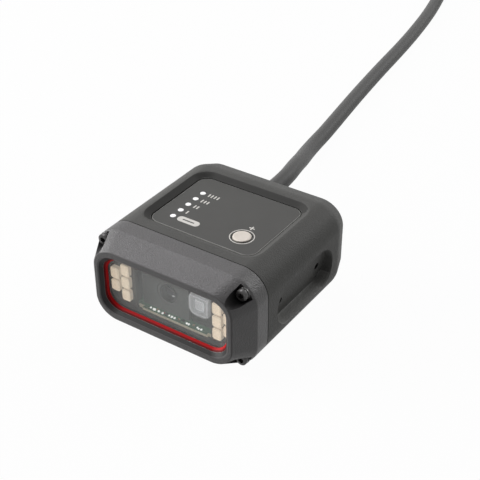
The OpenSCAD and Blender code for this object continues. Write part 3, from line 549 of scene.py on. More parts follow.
@contextmanager
def editing(obj, faces=None, edges=None):
    """Edit mode on an object, with the faces or edges selected that pass a test of their place."""
    mesh = alone(obj).data
    for parts in (mesh.vertices, mesh.edges, mesh.polygons):
        parts.foreach_set("select", [faces is None and edges is None] * len(parts))
    chosen = []
    if faces:
        chosen = [f for f in mesh.polygons if faces(f.center, f.normal)]
    if edges:
        chosen = [e for e in mesh.edges if edges(*(mesh.vertices[i].co for i in e.vertices))]
    if (faces or edges) and not chosen:
        raise RuntimeError(f"{obj.name}: the test selects nothing")
    for part in chosen:
        part.select = True
    bpy.context.tool_settings.mesh_select_mode = (False, faces is None, faces is not None)
    bpy.ops.object.mode_set(mode="EDIT")
    yield
    bpy.ops.object.mode_set(mode="OBJECT")


def pull(offset):
    """Extrudes the selected faces by an offset."""
    bpy.ops.mesh.extrude_region_move(TRANSFORM_OT_translate={"value": offset})


def draw_in(margin, offset):
    """Insets the selected faces by a margin and moves them by an offset."""
    bpy.ops.mesh.inset(thickness=margin)
    bpy.ops.transform.translate(value=offset)


def scale_about(point, x, z):
    """Scales what is selected along X and Z about a point."""
    bpy.ops.transform.resize(value=(x, 1, z), center_override=point)


def add_new(name, operator, **settings):
    """Adds an object by an operator, with nothing else selected, and names it."""
    bpy.ops.object.select_all(action="DESELECT")
    operator(**settings)
    bpy.context.active_object.name = name
    return bpy.context.active_object


def add_block(name, low, high):
    """A block from its lowest to its highest corner."""
    low, high = Vector(low), Vector(high)
    block = add_new(name, bpy.ops.mesh.primitive_cube_add, size=1, location=(low + high) / 2)
    block.scale = high - low
    return settle(block)


def add_rounded(name, low, high, axis, radius, steps=10):
    """A block whose four edges along one axis are round."""
    block = add_block(name, low, high)
    i = "XYZ".index(axis)
    span = high[i] - low[i]
    with editing(block, edges=lambda a, b: abs(a[i] - b[i]) > span / 2):
        bpy.ops.mesh.bevel(offset=radius, segments=steps, affect="EDGES", clamp_overlap=False)
    return block


def add_rod(name, centre, radius, length, axis, sides=48):
    """A rod along one axis, centred on a point."""
    turn = {"X": (0, pi / 2, 0), "Y": (pi / 2, 0, 0), "Z": (0, 0, 0)}[axis]
    return settle(add_new(name, bpy.ops.mesh.primitive_cylinder_add, vertices=sides, radius=radius,
                          depth=length, location=centre, rotation=turn))


def add_turned(name, outline, origin, direction, steps=64):
    """A solid turned about an axis from an outline of radius and height in millimetres."""
    outline = [(r * MM, h * MM) for r, h in outline]
    turned = add_new(name, bpy.ops.mesh.primitive_plane_add, size=MM)
    bpy.context.tool_settings.mesh_select_mode = (True, False, False)
    bpy.ops.object.mode_set(mode="EDIT")
    bpy.ops.mesh.select_all(action="SELECT")
    bpy.ops.mesh.merge(type="CENTER")
    bpy.ops.transform.translate(value=(outline[0][0], 0, outline[0][1]))
    for (r0, h0), (r1, h1) in zip(outline, outline[1:]):
        pull((r1 - r0, 0, h1 - h0))
    bpy.ops.mesh.select_all(action="SELECT")
    bpy.ops.mesh.spin(steps=steps, angle=2 * pi, center=(0, 0, 0), axis=(0, 0, 1))
    bpy.ops.mesh.select_all(action="SELECT")
    bpy.ops.mesh.remove_doubles(threshold=TINY / 10)
    bpy.ops.mesh.dissolve_degenerate(threshold=TINY / 10)
    bpy.ops.mesh.normals_make_consistent(inside=False)
    bpy.ops.object.mode_set(mode="OBJECT")
    turn = Vector(direction).to_track_quat("Z", "Y").to_matrix().to_4x4()
    turned.matrix_world = Matrix.Translation(origin) @ turn
    return settle(turned)


def copy_of(obj, offset):
    """A copy of an object with its own mesh, moved by an offset."""
    copy = obj.copy()
    copy.data = obj.data.copy()
    bpy.context.collection.objects.link(copy)
    copy.location = offset
    return settle(copy)


def join(name, pieces):
    """Joins several objects into the first."""
    alone(pieces[0])
    for piece in pieces[1:]:
        piece.select_set(True)
    bpy.ops.object.join()
    pieces[0].name = name
    return pieces[0]


def apply_modifier(obj, kind, **settings):
    """Adds a modifier with its settings and applies it."""
    alone(obj)
    modifier = obj.modifiers.new(kind.lower(), kind)
    for key, value in settings.items():
        setattr(modifier, key, value)
    bpy.ops.object.modifier_apply(modifier=modifier.name)


def carve(obj, *tools):
    """Cuts the tools' shapes out of an object and removes the tools."""
    for tool in tools:
        apply_modifier(obj, "BOOLEAN", operation="DIFFERENCE", solver="MANIFOLD", object=tool)
        bpy.data.objects.remove(tool)
    return obj


def dish(tool, wall, way, depth, lean=0.0, middle=Vector()):
    """Sinks the face of a tool that looks one way, step by step along a wall, and leans it as it sinks."""
    with editing(tool, faces=lambda c, n: n.dot(way) > 0.9):
        for (s0, d0), (s1, d1) in zip(wall, wall[1:]):
            draw_in(s1 - s0, way * (d1 - d0) * depth)
            if lean:
                bpy.ops.transform.rotate(value=lean * (d1 - d0), orient_axis="Y",
                                         center_override=middle + way * d1 * depth)
    return tool


def round_edges(obj, width, steps=3, angle=30, mark=-1):
    """Rounds every sharp edge a little; the new faces take the finish numbered mark."""
    with editing(obj):
        bpy.ops.mesh.remove_doubles(threshold=TINY / 10)
        bpy.ops.mesh.dissolve_limited(angle_limit=radians(0.5))
    apply_modifier(obj, "BEVEL", width=width, segments=steps, limit_method="ANGLE",
                   angle_limit=radians(angle), use_clamp_overlap=False, miter_outer="MITER_ARC",
                   material=mark)
    return obj


def soften(obj, width, steps=3, angle=30):
    """Rounds every sharp edge a little and evens out the shading."""
    return smooth(round_edges(obj, width, steps, angle), angle + 10)


def smooth(obj, angle=40):
    """Smooth shading that keeps sharp edges and lets large faces lead."""
    alone(obj)
    bpy.ops.object.shade_smooth_by_angle(angle=radians(angle))
    apply_modifier(obj, "WEIGHTED_NORMAL", keep_sharp=True)
    return obj


def paint(obj, *finishes):
    """Gives an object its finishes; its faces keep the numbers of those that they take."""
    slots = obj.data.materials
    for number, finish in enumerate(finishes):
        if number < len(slots):
            slots[number] = FINISHES[finish]
        else:
            slots.append(FINISHES[finish])
    return obj


def paint_faces(obj, finishes, choose):
    """Gives an object its finishes, and each face the one that a test of it names."""
    for face in paint(obj, *finishes).data.polygons:
        face.material_index = finishes.index(choose(face))
    return obj


def dress(obj, finish, *nodes, body="reader"):
    """Paints a finished piece, rides it on its body and lets it stand for its nodes."""
    paint(obj, finish)
    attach(obj, body)
    if nodes:
        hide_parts(*nodes)
    return obj


def mount_place(name):
    """Where one of the record's mounts is."""
    return next(Vector(m["pos_m"]) for m in frame["record"]["mounts"] if m["name"] == name)


def light_places():
    """The status lights' place across the reader, and their places along it."""
    low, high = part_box("status_leds")
    first, last = low.y + LIGHT_MARGIN, high.y - LIGHT_MARGIN
    rows = [first + (last - first) * k / (LIGHT_COUNT - 1) for k in range(LIGHT_COUNT)]
    return (low.x + high.x) / 2, rows


class READER_OT_stage(Operator):
    """Camera, floor, soft lights and even room light"""
    bl_idname = "reader.stage"
    bl_label = "Studio"

    def softbox(self, name, place, width, power, tint=(1.0, 1.0, 1.0)):
        """One square light that faces the reader."""
        light = add_new(name, bpy.ops.object.light_add, type="AREA", location=place)
        light.rotation_euler = (READER_MIDDLE - Vector(place)).to_track_quat("-Z", "Y").to_euler()
        light.data.size = width
        light.data.energy = power
        light.data.color = tint

    def execute(self, context):
        studio = context.scene.reader_studio
        camera = add_new("photo_camera", bpy.ops.object.camera_add, location=studio.camera_place)
        camera.rotation_euler = Vector(studio.camera_aim).to_track_quat("-Z", "Y").to_euler()
        camera.data.sensor_width = SENSOR_WIDTH
        camera.data.lens = studio.focal_length
        camera.data.clip_start = 0.01
        context.scene.camera = camera
        floor = add_new("studio_floor", bpy.ops.mesh.primitive_plane_add, size=FLOOR_WIDTH)
        floor.data.materials.append(white_floor("studio_white"))
        self.softbox("key_softbox", place=(-0.41, 0.13, 0.8), width=0.42, power=studio.key_power,
                     tint=(1.0, 0.97, 1.01))
        self.softbox("side_softbox", place=(-0.74, -0.3, 0.31), width=0.5, power=studio.side_power)
        self.softbox("back_softbox", place=(0.35, 0.7, 0.5), width=0.5, power=studio.back_power)
        context.scene.world = white_room("studio_room", studio.room_light)
        context.scene.view_settings.view_transform = "Standard"
        return {"FINISHED"}


def ease(value, start, end):
    """0 before start, 1 after end and a soft step between them."""
    t = min(1.0, max(0.0, (value - start) / (end - start)))
    return t * t * (3 - 2 * t)


class READER_OT_lead(Operator):
    """The lead on its route, its coil, tie and connector"""
    bl_idname = "reader.lead"
    bl_label = "Lead"

    def coil(self, size):
        """Points of the coil: clockwise turns side by side on the floor, then more on top of them."""
        radius, cable = size.coil_radius / MM, size.cable_diameter / MM
        start = atan2(LEAD_ROUTE[-1][1] - COIL_CENTRE[1], LEAD_ROUTE[-1][0] - COIL_CENTRE[0])
        turns = 3 + ((start - pi / 2) % (2 * pi)) / (2 * pi)
        steps_per_turn = 16
        points = []
        for k in range(1, round(turns * steps_per_turn) + 1):
            t = turns * k / round(turns * steps_per_turn)
            inward = ease(t, *STEP_IN) - ease(t, *STEP_OUT)
            r = radius + cable * (0.5 - inward)
            z = cable * (0.5 + ease(t, *STEP_UP))
            angle = start - 2 * pi * t
            points.append((COIL_CENTRE[0] + r * cos(angle), COIL_CENTRE[1] + r * sin(angle), z))
        return points

    def tie(self, size):
        """A strap drawn round the coil, with its buckle on the outer side."""
        low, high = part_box("cable_tie")
        angle = radians(20)
        reach, cable, strap, width = size.coil_radius, size.cable_diameter, 1 * MM, 6 * MM
        band = add_rounded("coil_tie", (reach - cable - strap, -width / 2, 0),
                           (reach + cable + strap, width / 2, high.z - low.z), "Y",
                           cable / 2 + strap, steps=8)
        carve(band, add_rounded("tie_tool", (reach - cable, -width, strap / 2),
                                (reach + cable, width, 2 * cable), "Y", cable / 2, steps=8))
        soften(band, 0.2 * MM, steps=2)
        buckle = add_block("tie_buckle", (reach + cable + 0.1 * MM, -width * 0.5, cable * 0.8),
                           (reach + cable + strap, width * 0.5, cable * 1.5))
        soften(buckle, 0.25 * MM, steps=2)
        band = join("coil_tie", [band, buckle])
        band.matrix_world = (Matrix.Translation((COIL_CENTRE[0] * MM, COIL_CENTRE[1] * MM, 0))
                             @ Matrix.Rotation(angle, 4, "Z"))
        return dress(settle(band), "seal_black", "cable_tie")

    def connector(self):
        """Ribbed grip and threaded shell of the round connector, on the lead's last stretch."""
        start, end = (Vector(p) * MM for p in TAIL_ROUTE[-2:])
        along = (end - start).normalized()
        grip_r, grip_l, cable_r = 6.5, 25, 3.2
        ribs = [(grip_r - (0.55 if k % 2 else 0.0), 10.5 + 1.1 * k + step)
                for k in range(11) for step in (0.1, 1.0)]
        outline = [(0, 0), (cable_r + 0.6, 0), (cable_r + 0.8, 0.4), (grip_r - 1.0, 8.6),
                   (grip_r - 0.3, 9.6), (grip_r, 10.2), *ribs, (grip_r, 23), (grip_r, 24.2),
                   (grip_r - 0.8, grip_l), (0, grip_l)]
        grip = add_turned("lead_grip", outline, end, along)
        dress(smooth(grip, 35), "black_plastic", "connector_grip")
        teeth = [(6 - (0.45 if k % 2 else 0.0), 4 + 0.5 * k) for k in range(17)]
        outline = [(4.8, 0), (5.9, 0), (5.9, 2.2), (5.3, 2.6), (5.3, 3.6), *teeth, (5.6, 12.7), (5.2, 13),
                   (4.8, 13), (4.8, 0)]
        shell = add_turned("lead_shell", outline, end + along * grip_l * MM, along)
        dress(smooth(shell, 35), "steel", "connector_shell")
        return [grip, shell]

    def execute(self, context):
        size = context.scene.reader_sizes
        route = [*LEAD_ROUTE, *self.coil(size), *TAIL_ROUTE]
        curve = bpy.data.curves.new("lead_cable", "CURVE")
        curve.dimensions = "3D"
        curve.bevel_depth = size.cable_diameter / 2
        curve.bevel_resolution = 6
        curve.resolution_u = 6
        curve.use_fill_caps = True
        spline = curve.splines.new("BEZIER")
        spline.bezier_points.add(len(route) - 1)
        for point, place in zip(spline.bezier_points, route):
            point.co = Vector(place) * MM
            point.handle_left_type = point.handle_right_type = "AUTO"
        cable = bpy.data.objects.new("lead_cable", curve)
        context.collection.objects.link(cable)
        dress(cable, "cable", "cable_lead", "cable_coil", "cable_tail")
        on_lead = [self.tie(size), *self.connector(), frame["nodes"]["connector_insert"],
                   frame["nodes"]["connector_pins"]]
        return {"FINISHED"}


def slab(name, low, high, start, end):
    """A block a little wider than a box, from one place to another along the Y axis."""
    return add_block(name, (low.x - MM, start, low.z - MM), (high.x + MM, end, high.z + MM))


class READER_OT_housing(Operator):
    """Rear housing with its label recess, side pockets and tapered back end"""
    bl_idname = "reader.housing"
    bl_label = "Rear housing"
    finishes = ("housing", "pocket_shelf_painted_light", "recess_shade")

    def recess_finish(self, face):
        """The finish that one of the recess's walls gives: shade on those that look away from the light."""
        shaded = face.normal.y > 0.25 or face.normal.x < -0.25
        return "recess_shade" if shaded and face.normal.z < 0 else "housing"

    def recess_tool(self, size, top):
        """The label's dished recess, rolled over at its top and grooved at its foot."""
        low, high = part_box("top_label")
        depth = top - low.z
        start = RECESS_WALL[0]
        edge = size.label_gap + size.recess_slope - start[0]
        tool = add_rounded("recess_tool", Vector((low.x - edge, low.y - edge, top - start[1] * depth)),
                           Vector((high.x + edge, high.y + edge, top + MM)), "Z",
                           size.recess_radius - start[0])
        dish(tool, RECESS_WALL, Vector((0, 0, -1)), depth)
        return paint_faces(tool, self.finishes, self.recess_finish)

    def pocket_tools(self, size, side, place, outside):
        """One side's mounting pocket, rounded over at its mouth and foot, and its two blind holes."""
        depth = outside - abs(place.x) + POCKET_EXTRA
        start = POCKET_WALL[0]
        half = Vector((0, size.pocket_length / 2, size.pocket_height / 2)) - Vector((0, start[0], start[0]))
        low, high = Vector(place) - half, Vector(place) + half
        low.x, high.x = sorted((side * (outside - start[1] * depth), side * (outside + 2 * MM)))
        tool = add_rounded("pocket_tool", low, high, "X", half.z * POCKET_ROUND, steps=14)
        mouth = Vector((side * outside, place.y, place.z))
        dish(tool, POCKET_WALL, Vector((-side, 0, 0)), depth, -side * POCKET_LEAN, mouth)
        # The pocket's lower wall, which faces up, takes the lighter copy of the moulding: painted light
        paint_faces(tool, self.finishes, lambda f: "pocket_shelf_painted_light" if f.normal.z < -0.5 else "housing")
        dims = frame["record"]["mounts"][0]["dims"]
        pitch, radius = dims["spacing_x_mm"] * MM, dims["hole_r_mm"] * MM
        middle = place - Vector((side * (size.hole_depth / 2 - MM), 0, 0))
        holes = [add_rod("hole_tool", middle + Vector((0, step * pitch / 2, 0)), radius,
                         size.hole_depth + 2 * MM, "X", 32) for step in (-1, 1)]
        return [tool, *holes]

    def inner_blocks(self, size, high):
        """Blocks behind the side pockets that their holes end in, left standing in the cavity."""
        blocks = []
        along, upright = 0.5 * MM, 1.4 * MM
        for name, side in SIDE_MOUNTS:
            place = mount_place(name)
            reach = Vector((0, size.pocket_length / 2 + along, size.pocket_height / 2 + upright))
            near, far = place - reach, place + reach
            outer, inner = side * (high.x - size.wall + MM), place.x - side * (size.hole_depth + MM)
            near.x, far.x = sorted((outer, inner))
            blocks.append(add_rounded("block_tool", near, far, "X", reach.z * POCKET_ROUND))
        return blocks

    def opening_tools(self, top):
        """Openings for the status lights, the button and the lead."""
        across, rows = light_places()
        tools = [add_rod("light_tool", (across, y, top), LIGHT_OPENING, 8 * MM, "Z", 32) for y in rows]
        button = middle_of("switch_plunger")
        tools.append(add_rod("button_tool", (button.x, button.y, top), BUTTON_OPENING, 8 * MM, "Z"))
        exit_point = Vector(LEAD_ROUTE[0]) * MM
        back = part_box("rear_housing")[1].y
        tools.append(add_rod("lead_tool", (exit_point.x, back, exit_point.z), LEAD_OPENING, 10 * MM, "Y"))
        return tools

    def execute(self, context):
        size = context.scene.reader_sizes
        low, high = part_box("rear_housing")
        crease, crease_round = high.y - size.back_taper_length, 1.2 * MM
        shell = add_rounded("housing_shell", low - Vector((0, MM, 0)), Vector((high.x, crease, high.z)), "Y",
                            size.corner_radius, steps=14)
        with editing(shell, faces=lambda c, n: n.y > 0.9):
            pull((0, size.back_taper_length, 0))
            scale_about((low + high) / 2, 1 - 2 * size.back_taper / (high.x - low.x),
                        1 - 2 * size.back_taper / (high.z - low.z))
        with editing(shell, edges=lambda a, b: max(abs(a.y - crease), abs(b.y - crease)) < TINY):
            bpy.ops.mesh.bevel(offset=crease_round, segments=3, affect="EDGES")
        cavity = add_rounded("cavity_tool", low + Vector((size.wall, -MM, size.wall)),
                             high - Vector((size.wall, size.back_wall, size.wall)), "Y",
                             size.corner_radius - size.wall)
        carve(cavity, *self.inner_blocks(size, high))
        paint(round_edges(shell, size.shell_edge), *self.finishes)
        carve(shell, slab("front_tool", low, high, low.y - 2 * MM, low.y))
        carve(shell, self.recess_tool(size, high.z), cavity)
        for name, side in SIDE_MOUNTS:
            carve(shell, *self.pocket_tools(size, side, mount_place(name), high.x))
        carve(shell, *self.opening_tools(high.z))
        dress(smooth(shell, 35), "housing", "rear_housing")
        return {"FINISHED"}


class READER_OT_bezel(Operator):
    """Front bezel: sloped faces, rim, tapered mouth and four screw notches"""
    bl_idname = "reader.bezel"
    bl_label = "Front bezel"
    finishes = ("bezel", "bezel_edge_painted_highlight", "mouth")

    def notch_tool(self, size, front, floor):
        """A screw's notch about the Y axis: a round end that widens toward +X."""
        radius, length = size.notch_radius, 20 * MM
        notch = add_rounded("notch_tool", Vector((-radius, front, -radius)), Vector((length, floor, radius)),
                            "Y", radius * 0.97)
        widen = 1 + (length - radius) * tan(size.notch_flare) / radius
        with editing(notch, faces=lambda c, n: c.x > length / 2):
            scale_about((0, 0, 0), 1, widen)
        # The notch's walls take the dark copy of the moulding: painted shade
        return paint_faces(notch, self.finishes, lambda f: "mouth")

    def cut_notches(self, size, bezel, low, high):
        """Cuts a notch and a hole for the screw in each corner."""
        screws_low, screws_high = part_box("bezel_screws")
        floor = screws_low.y + size.screw_head_height
        for sx in (-1, 1):
            for sz in (-1, 1):
                centre = Vector((sx * (screws_high.x - size.screw_head), 0,
                                 (screws_high.z if sz > 0 else screws_low.z) - sz * size.screw_head))
                notch = self.notch_tool(size, low.y - MM, floor)
                notch.matrix_world = Matrix.Translation(centre) @ Matrix.Rotation(-atan2(sz, sx), 4, "Y")
                hole = add_rod("hole_tool", centre + Vector((0, high.y, 0)), SCREW_OPENING, 20 * MM, "Y", 24)
                carve(bezel, settle(notch), hole)

    def window_tools(self, size, back):
        """Room behind the mouth for the seal and the pane, and more behind the lit board."""
        low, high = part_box("window_seal")
        board_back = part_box("illumination_board")[1].y
        gap, room = 0.1 * MM, 0.8 * MM
        pocket = add_rounded("pocket_tool", low - Vector((gap, 0, gap)),
                             Vector((high.x + gap, board_back, high.z + gap)), "Y", size.pocket_radius)
        behind = add_rounded("room_tool", (low.x - room, board_back - TINY, low.z - room),
                             (high.x + room, back + 2 * MM, high.z + room), "Y", size.pocket_radius + room)
        return [pocket, behind]

    def face_finish(self, face, front, middle):
        """A face's finish: dark in the mouth, a painted highlight on the rounded edges at the front, plain
        elsewhere.
        """
        inward = (middle - face.center) * Vector((1, 0, 1))
        if face.center.y > front + MM:
            return "bezel"
        if face.normal.dot(inward.normalized()) > 0.3 and not face.material_index:
            return "mouth"
        return self.finishes[face.material_index]

    def execute(self, context):
        size = context.scene.reader_sizes
        low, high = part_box("front_bezel")
        middle = (low + high) / 2
        band = Vector((low.x, high.y - size.flange_length, low.z))
        bezel = add_rounded("bezel_shell", band, high + Vector((0, MM, 0)), "Y", size.corner_radius,
                            steps=14)
        front = (middle.x, low.y, middle.z)
        width, height = high.x - low.x, high.z - low.z
        rim_width, rim_height = width - 2 * size.slope_side, height - 2 * size.slope_top
        mouth_width, mouth_height = rim_width - 2 * size.rim_side, rim_height - 2 * size.rim_top
        with editing(bezel, faces=lambda c, n: n.y < -0.9):
            pull((0, low.y - band.y, 0))
            scale_about(front, rim_width / width, rim_height / height)
            bpy.ops.mesh.inset(thickness=size.rim_side)
            scale_about(front, 1, mouth_height / (rim_height - 2 * size.rim_side))
            pull((0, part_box("window_seal")[0].y - low.y, 0))
            scale_about(front, 1 - 2 * size.mouth_taper / mouth_width,
                        1 - 2 * size.mouth_taper / mouth_height)
            pull((0, 0.3 * MM, 0))
        carve(bezel, *self.window_tools(size, high.y))
        paint(bezel, *self.finishes)
        # The new rounded edges take the lighter copy of the moulding, a painted highlight
        round_edges(bezel, size.shell_edge * 0.8, angle=16, mark=self.finishes.index("bezel_edge_painted_highlight"))
        paint_faces(bezel, self.finishes, lambda f: self.face_finish(f, low.y, middle))
        carve(bezel, slab("back_tool", low, high, high.y, high.y + 3 * MM))
        self.cut_notches(size, bezel, low, high)
        dress(smooth(bezel, 26), "bezel", "front_bezel")
        return {"FINISHED"}


class READER_OT_screws(Operator):
    """Socket-head screws in the bezel's corner notches"""
    bl_idname = "reader.screws"
    bl_label = "Bezel screws"

    def execute(self, context):
        size = context.scene.reader_sizes
        low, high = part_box("bezel_screws")
        first = Vector((low.x + size.screw_head, low.y, low.z + size.screw_head))
        head, shank, length = size.screw_head / MM, size.screw_shank / MM, (high.y - low.y) / MM
        foot = size.screw_head_height / MM
        outline = [(0, 0), (head - 0.35, 0), (head - 0.1, 0.1), (head, 0.35), (head, foot - 0.75),
                   (head - 0.2, foot - 0.6), (head - 0.2, foot - 0.5), (head, foot - 0.5),
                   (head + 0.1, foot - 0.4), (head + 0.1, foot), (shank, foot), (shank, length - 0.5),
                   (shank - 0.4, length), (0, length)]
        screw = add_turned("corner_screws", outline, first, (0, 1, 0), steps=40)
        carve(screw, add_rod("socket_tool", first, 1.05 * MM, 2.4 * MM, "Y", 6))
        smooth(screw, 35)
        spread_x, spread_z = high.x - low.x - 2 * size.screw_head, high.z - low.z - 2 * size.screw_head
        copies = [copy_of(screw, (x * spread_x, 0, z * spread_z)) for x in (0, 1) for z in (0, 1) if x or z]
        dress(join("corner_screws", [screw, *copies]), "screw_black", "bezel_screws")
        return {"FINISHED"}


class READER_OT_window(Operator):
    """Red seal and clear pane in the bezel's mouth"""
    bl_idname = "reader.window"
    bl_label = "Window"

    def execute(self, context):
        size = context.scene.reader_sizes
        corner, opening_corner = size.pocket_radius - 0.1 * MM, size.pocket_radius - 0.7 * MM
        low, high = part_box("window_seal")
        seal = add_rounded("window_gasket", low, high, "Y", corner)
        depth = high.y - low.y
        taper = (size.seal_width - size.seal_mouth) / depth
        front, back = size.seal_mouth - taper * MM, size.seal_width + taper * MM
        tool = add_rounded("opening_tool", (low.x + front, low.y - MM, low.z + front),
                           (high.x - front, high.y + MM, high.z - front), "Y", opening_corner)
        width, height = high.x - low.x, high.z - low.z
        with editing(tool, faces=lambda c, n: n.y > 0.9):
            scale_about((low + high) / 2, (width - 2 * back) / (width - 2 * front),
                        (height - 2 * back) / (height - 2 * front))
        carve(seal, tool)
        dress(soften(seal, 0.15 * MM), "window_red", "window_seal")
        low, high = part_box("window_pane")
        pane = add_rounded("clear_pane", low, high, "Y", corner)
        dress(soften(pane, 0.12 * MM, steps=2), "window_clear", "window_pane")
        return {"FINISHED"}


class READER_OT_lamps(Operator):
    """White LEDs: a package with a raised, dished phosphor square"""
    bl_idname = "reader.lamps"
    bl_label = "White LEDs"

    def execute(self, context):
        rise = 0.12 * MM
        for node in sorted(n for n in frame["nodes"] if n.startswith("white_led")):
            low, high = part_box(node)
            low = low + Vector((0, rise, 0))
            lamp = add_rounded(node.replace("white_led", "lamp"), low, high, "Y", 0.8 * MM, steps=5)
            with editing(lamp, faces=lambda c, n: n.y < -0.9):
                bpy.ops.mesh.inset(thickness=0.3 * MM)
                pull((0, -rise, 0))
                draw_in(0.35 * MM, (0, 0.2 * MM, 0))
            dress(soften(lamp, 0.12 * MM, steps=2), "led_cream", node)
        return {"FINISHED"}


class READER_OT_camera(Operator):
    """Grey camera block with a stepped bore round its lens barrel"""
    bl_idname = "reader.camera"
    bl_label = "Camera block"

    def execute(self, context):
        low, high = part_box("camera_housing")
        barrel_low, barrel_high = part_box("lens_barrel")
        lens = (barrel_low + barrel_high) / 2
        radius = (barrel_high.x - barrel_low.x) / 2
        block = add_block("camera_block", low, high)
        with editing(block, faces=lambda c, n: n.y < -0.9):
            draw_in(0.7 * MM, (0, 0.35 * MM, 0))
        middle, step, clearance = (low.y + high.y) / 2, 1.0 * MM, 0.05 * MM
        carve(block, add_rod("step_tool", (lens.x, low.y, lens.z), radius + step, 1.4 * MM, "Y", 64),
              add_rod("bore_tool", (lens.x, middle, lens.z), radius + clearance, 30 * MM, "Y", 64))
        sensor_low, sensor_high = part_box("image_sensor")
        room = 3 * MM
        carve(block, add_block("sensor_tool", sensor_low - Vector((room, 2.2 * MM, room)),
                               sensor_high + Vector((room, MM, room))))
        dress(soften(block, 0.2 * MM, steps=2), "camera_grey", "camera_housing")
        return {"FINISHED"}


class READER_OT_aimer(Operator):
    """Clear aiming optic: a soft square with a dished middle on a gathering cone"""
    bl_idname = "reader.aimer"
    bl_label = "Aiming optic"

    def execute(self, context):
        low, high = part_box("aimer_lens")
        front = Vector((high.x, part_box("aimer_holder")[0].y, high.z))
        optic = add_rounded("aimer_optic", low, front, "Y", 3.2 * MM, steps=8)
        with editing(optic, edges=lambda a, b: max(a.y, b.y) < low.y + TINY):
            bpy.ops.mesh.bevel(offset=0.9 * MM, segments=4, affect="EDGES")
        with editing(optic, faces=lambda c, n: n.y < -0.99):
            for margin, sink in ((1.2 * MM, 0.7 * MM), (0.6 * MM, -0.35 * MM)):
                bpy.ops.mesh.inset(thickness=margin)
                pull((0, sink, 0))
        middle = (low + high) / 2
        length = (high.y - front.y) / MM
        cone = add_turned("aimer_cone", [(0, 0), (3.6, 0), (2.2, length), (0, length)],
                          (middle.x, front.y, middle.z), (0, 1, 0))
        optic = join("aimer_optic", [optic, cone])
        dress(soften(optic, 0.12 * MM, steps=2), "clear_plastic", "aimer_lens")
        return {"FINISHED"}


class READER_OT_board_parts(Operator):
    """Small parts and solder joints along the front of the main board"""
    bl_idname = "reader.board_parts"
    bl_label = "Board parts"

    def execute(self, context):
        low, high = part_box("main_board")
        groups = {}
        for kind, x, y, width, tall in BOARD_PARTS:
            near = Vector((x * MM - width * MM / 2, low.y + y * MM, high.z))
            part = add_block("part", near, near + Vector((width, 0.55, tall)) * MM)
            with editing(part, faces=lambda c, n: n.z > 0.9):
                draw_in(0.08 * MM, (0, 0, 0.04 * MM))
            groups.setdefault(kind, []).append(part)
        for kind, parts in groups.items():
            dress(smooth(join(f"board_{kind}", parts)), kind)
        return {"FINISHED"}


class READER_OT_label(Operator):
    """Label film with its openings and its printed marks"""
    bl_idname = "reader.label"
    bl_label = "Label"

    def mark(self, x, y, width, length, radius, lift=1):
        """One thin printed patch on the film, with its sizes in millimetres."""
        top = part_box("top_label")[1].z
        half = Vector((width * MM / 2, length * MM / 2, 0))
        return add_rounded("mark", Vector((x, y, top)) - half, Vector((x, y, top + INK * lift)) + half, "Z",
                           radius * MM, steps=6)

    def execute(self, context):
        size = context.scene.reader_sizes
        low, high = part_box("top_label")
        reach, groove = size.label_gap - 0.05 * MM, 0.4 * MM
        film = add_rounded("label_film", Vector((low.x + groove, low.y - reach, low.z)),
                           Vector((high.x + reach, high.y - groove, high.z)), "Z", size.label_radius)
        # The film's rounded top edges take the lighter copy, a painted highlight
        paint(film, "label", "label_edge_painted_highlight")
        with editing(film, edges=lambda a, b: min(a.z, b.z) > high.z - TINY):
            bpy.ops.mesh.bevel(offset=0.22 * MM, segments=2, affect="EDGES", material=1)
        across, rows = light_places()
        button = middle_of("switch_plunger")
        tools = [add_rod("light_tool", (across, y, high.z), LIGHT_OPENING, 4 * MM, "Z", 32) for y in rows]
        tools.append(add_rod("button_tool", (button.x, button.y, high.z), LABEL_OPENING, 4 * MM, "Z", 64))
        carve(film, *tools)
        dress(smooth(film), "label", "top_label")
        start = across + 2.2 * MM
        pill = start + 3.8 * MM
        pale = [self.mark(pill, rows[0], 8.2, 2.8, 1.35)]
        dark = [self.mark(pill, rows[0], 4.4, 0.5, 0.2, lift=2)]
        for count, y in enumerate(rows[1:], 1):
            pale += [self.mark(start + (0.4 + 1.15 * k) * MM, y, 0.5, 1.7, 0.15) for k in range(count)]
        above = button.y + 5.6 * MM
        pale += [self.mark(button.x, above, 2.0, 0.45, 0.15),
                 self.mark(button.x, above, 0.45, 2.0, 0.15, lift=1.1)]
        outer, inner = 4.0 * MM, 3.7 * MM
        ring = add_rod("mark", (button.x, button.y, high.z + INK / 2), outer, INK, "Z", 72)
        carve(ring, add_rod("ring_tool", (button.x, button.y, high.z), inner, 2 * MM, "Z", 72))
        dress(smooth(join("label_marks", [*pale, ring])), "print")
        dress(smooth(join("label_dash", dark)), "print_dark")
        tips = [add_rod("tip", (across, y, high.z), 0.93 * MM, 0.06 * MM, "Z", 32) for y in rows]
        for tip in tips:
            with editing(tip, faces=lambda c, n: n.z > 0.9):
                draw_in(0.25 * MM, (0, 0, 0.04 * MM))
        dress(smooth(join("light_tips", tips)), "tip_white")
        return {"FINISHED"}


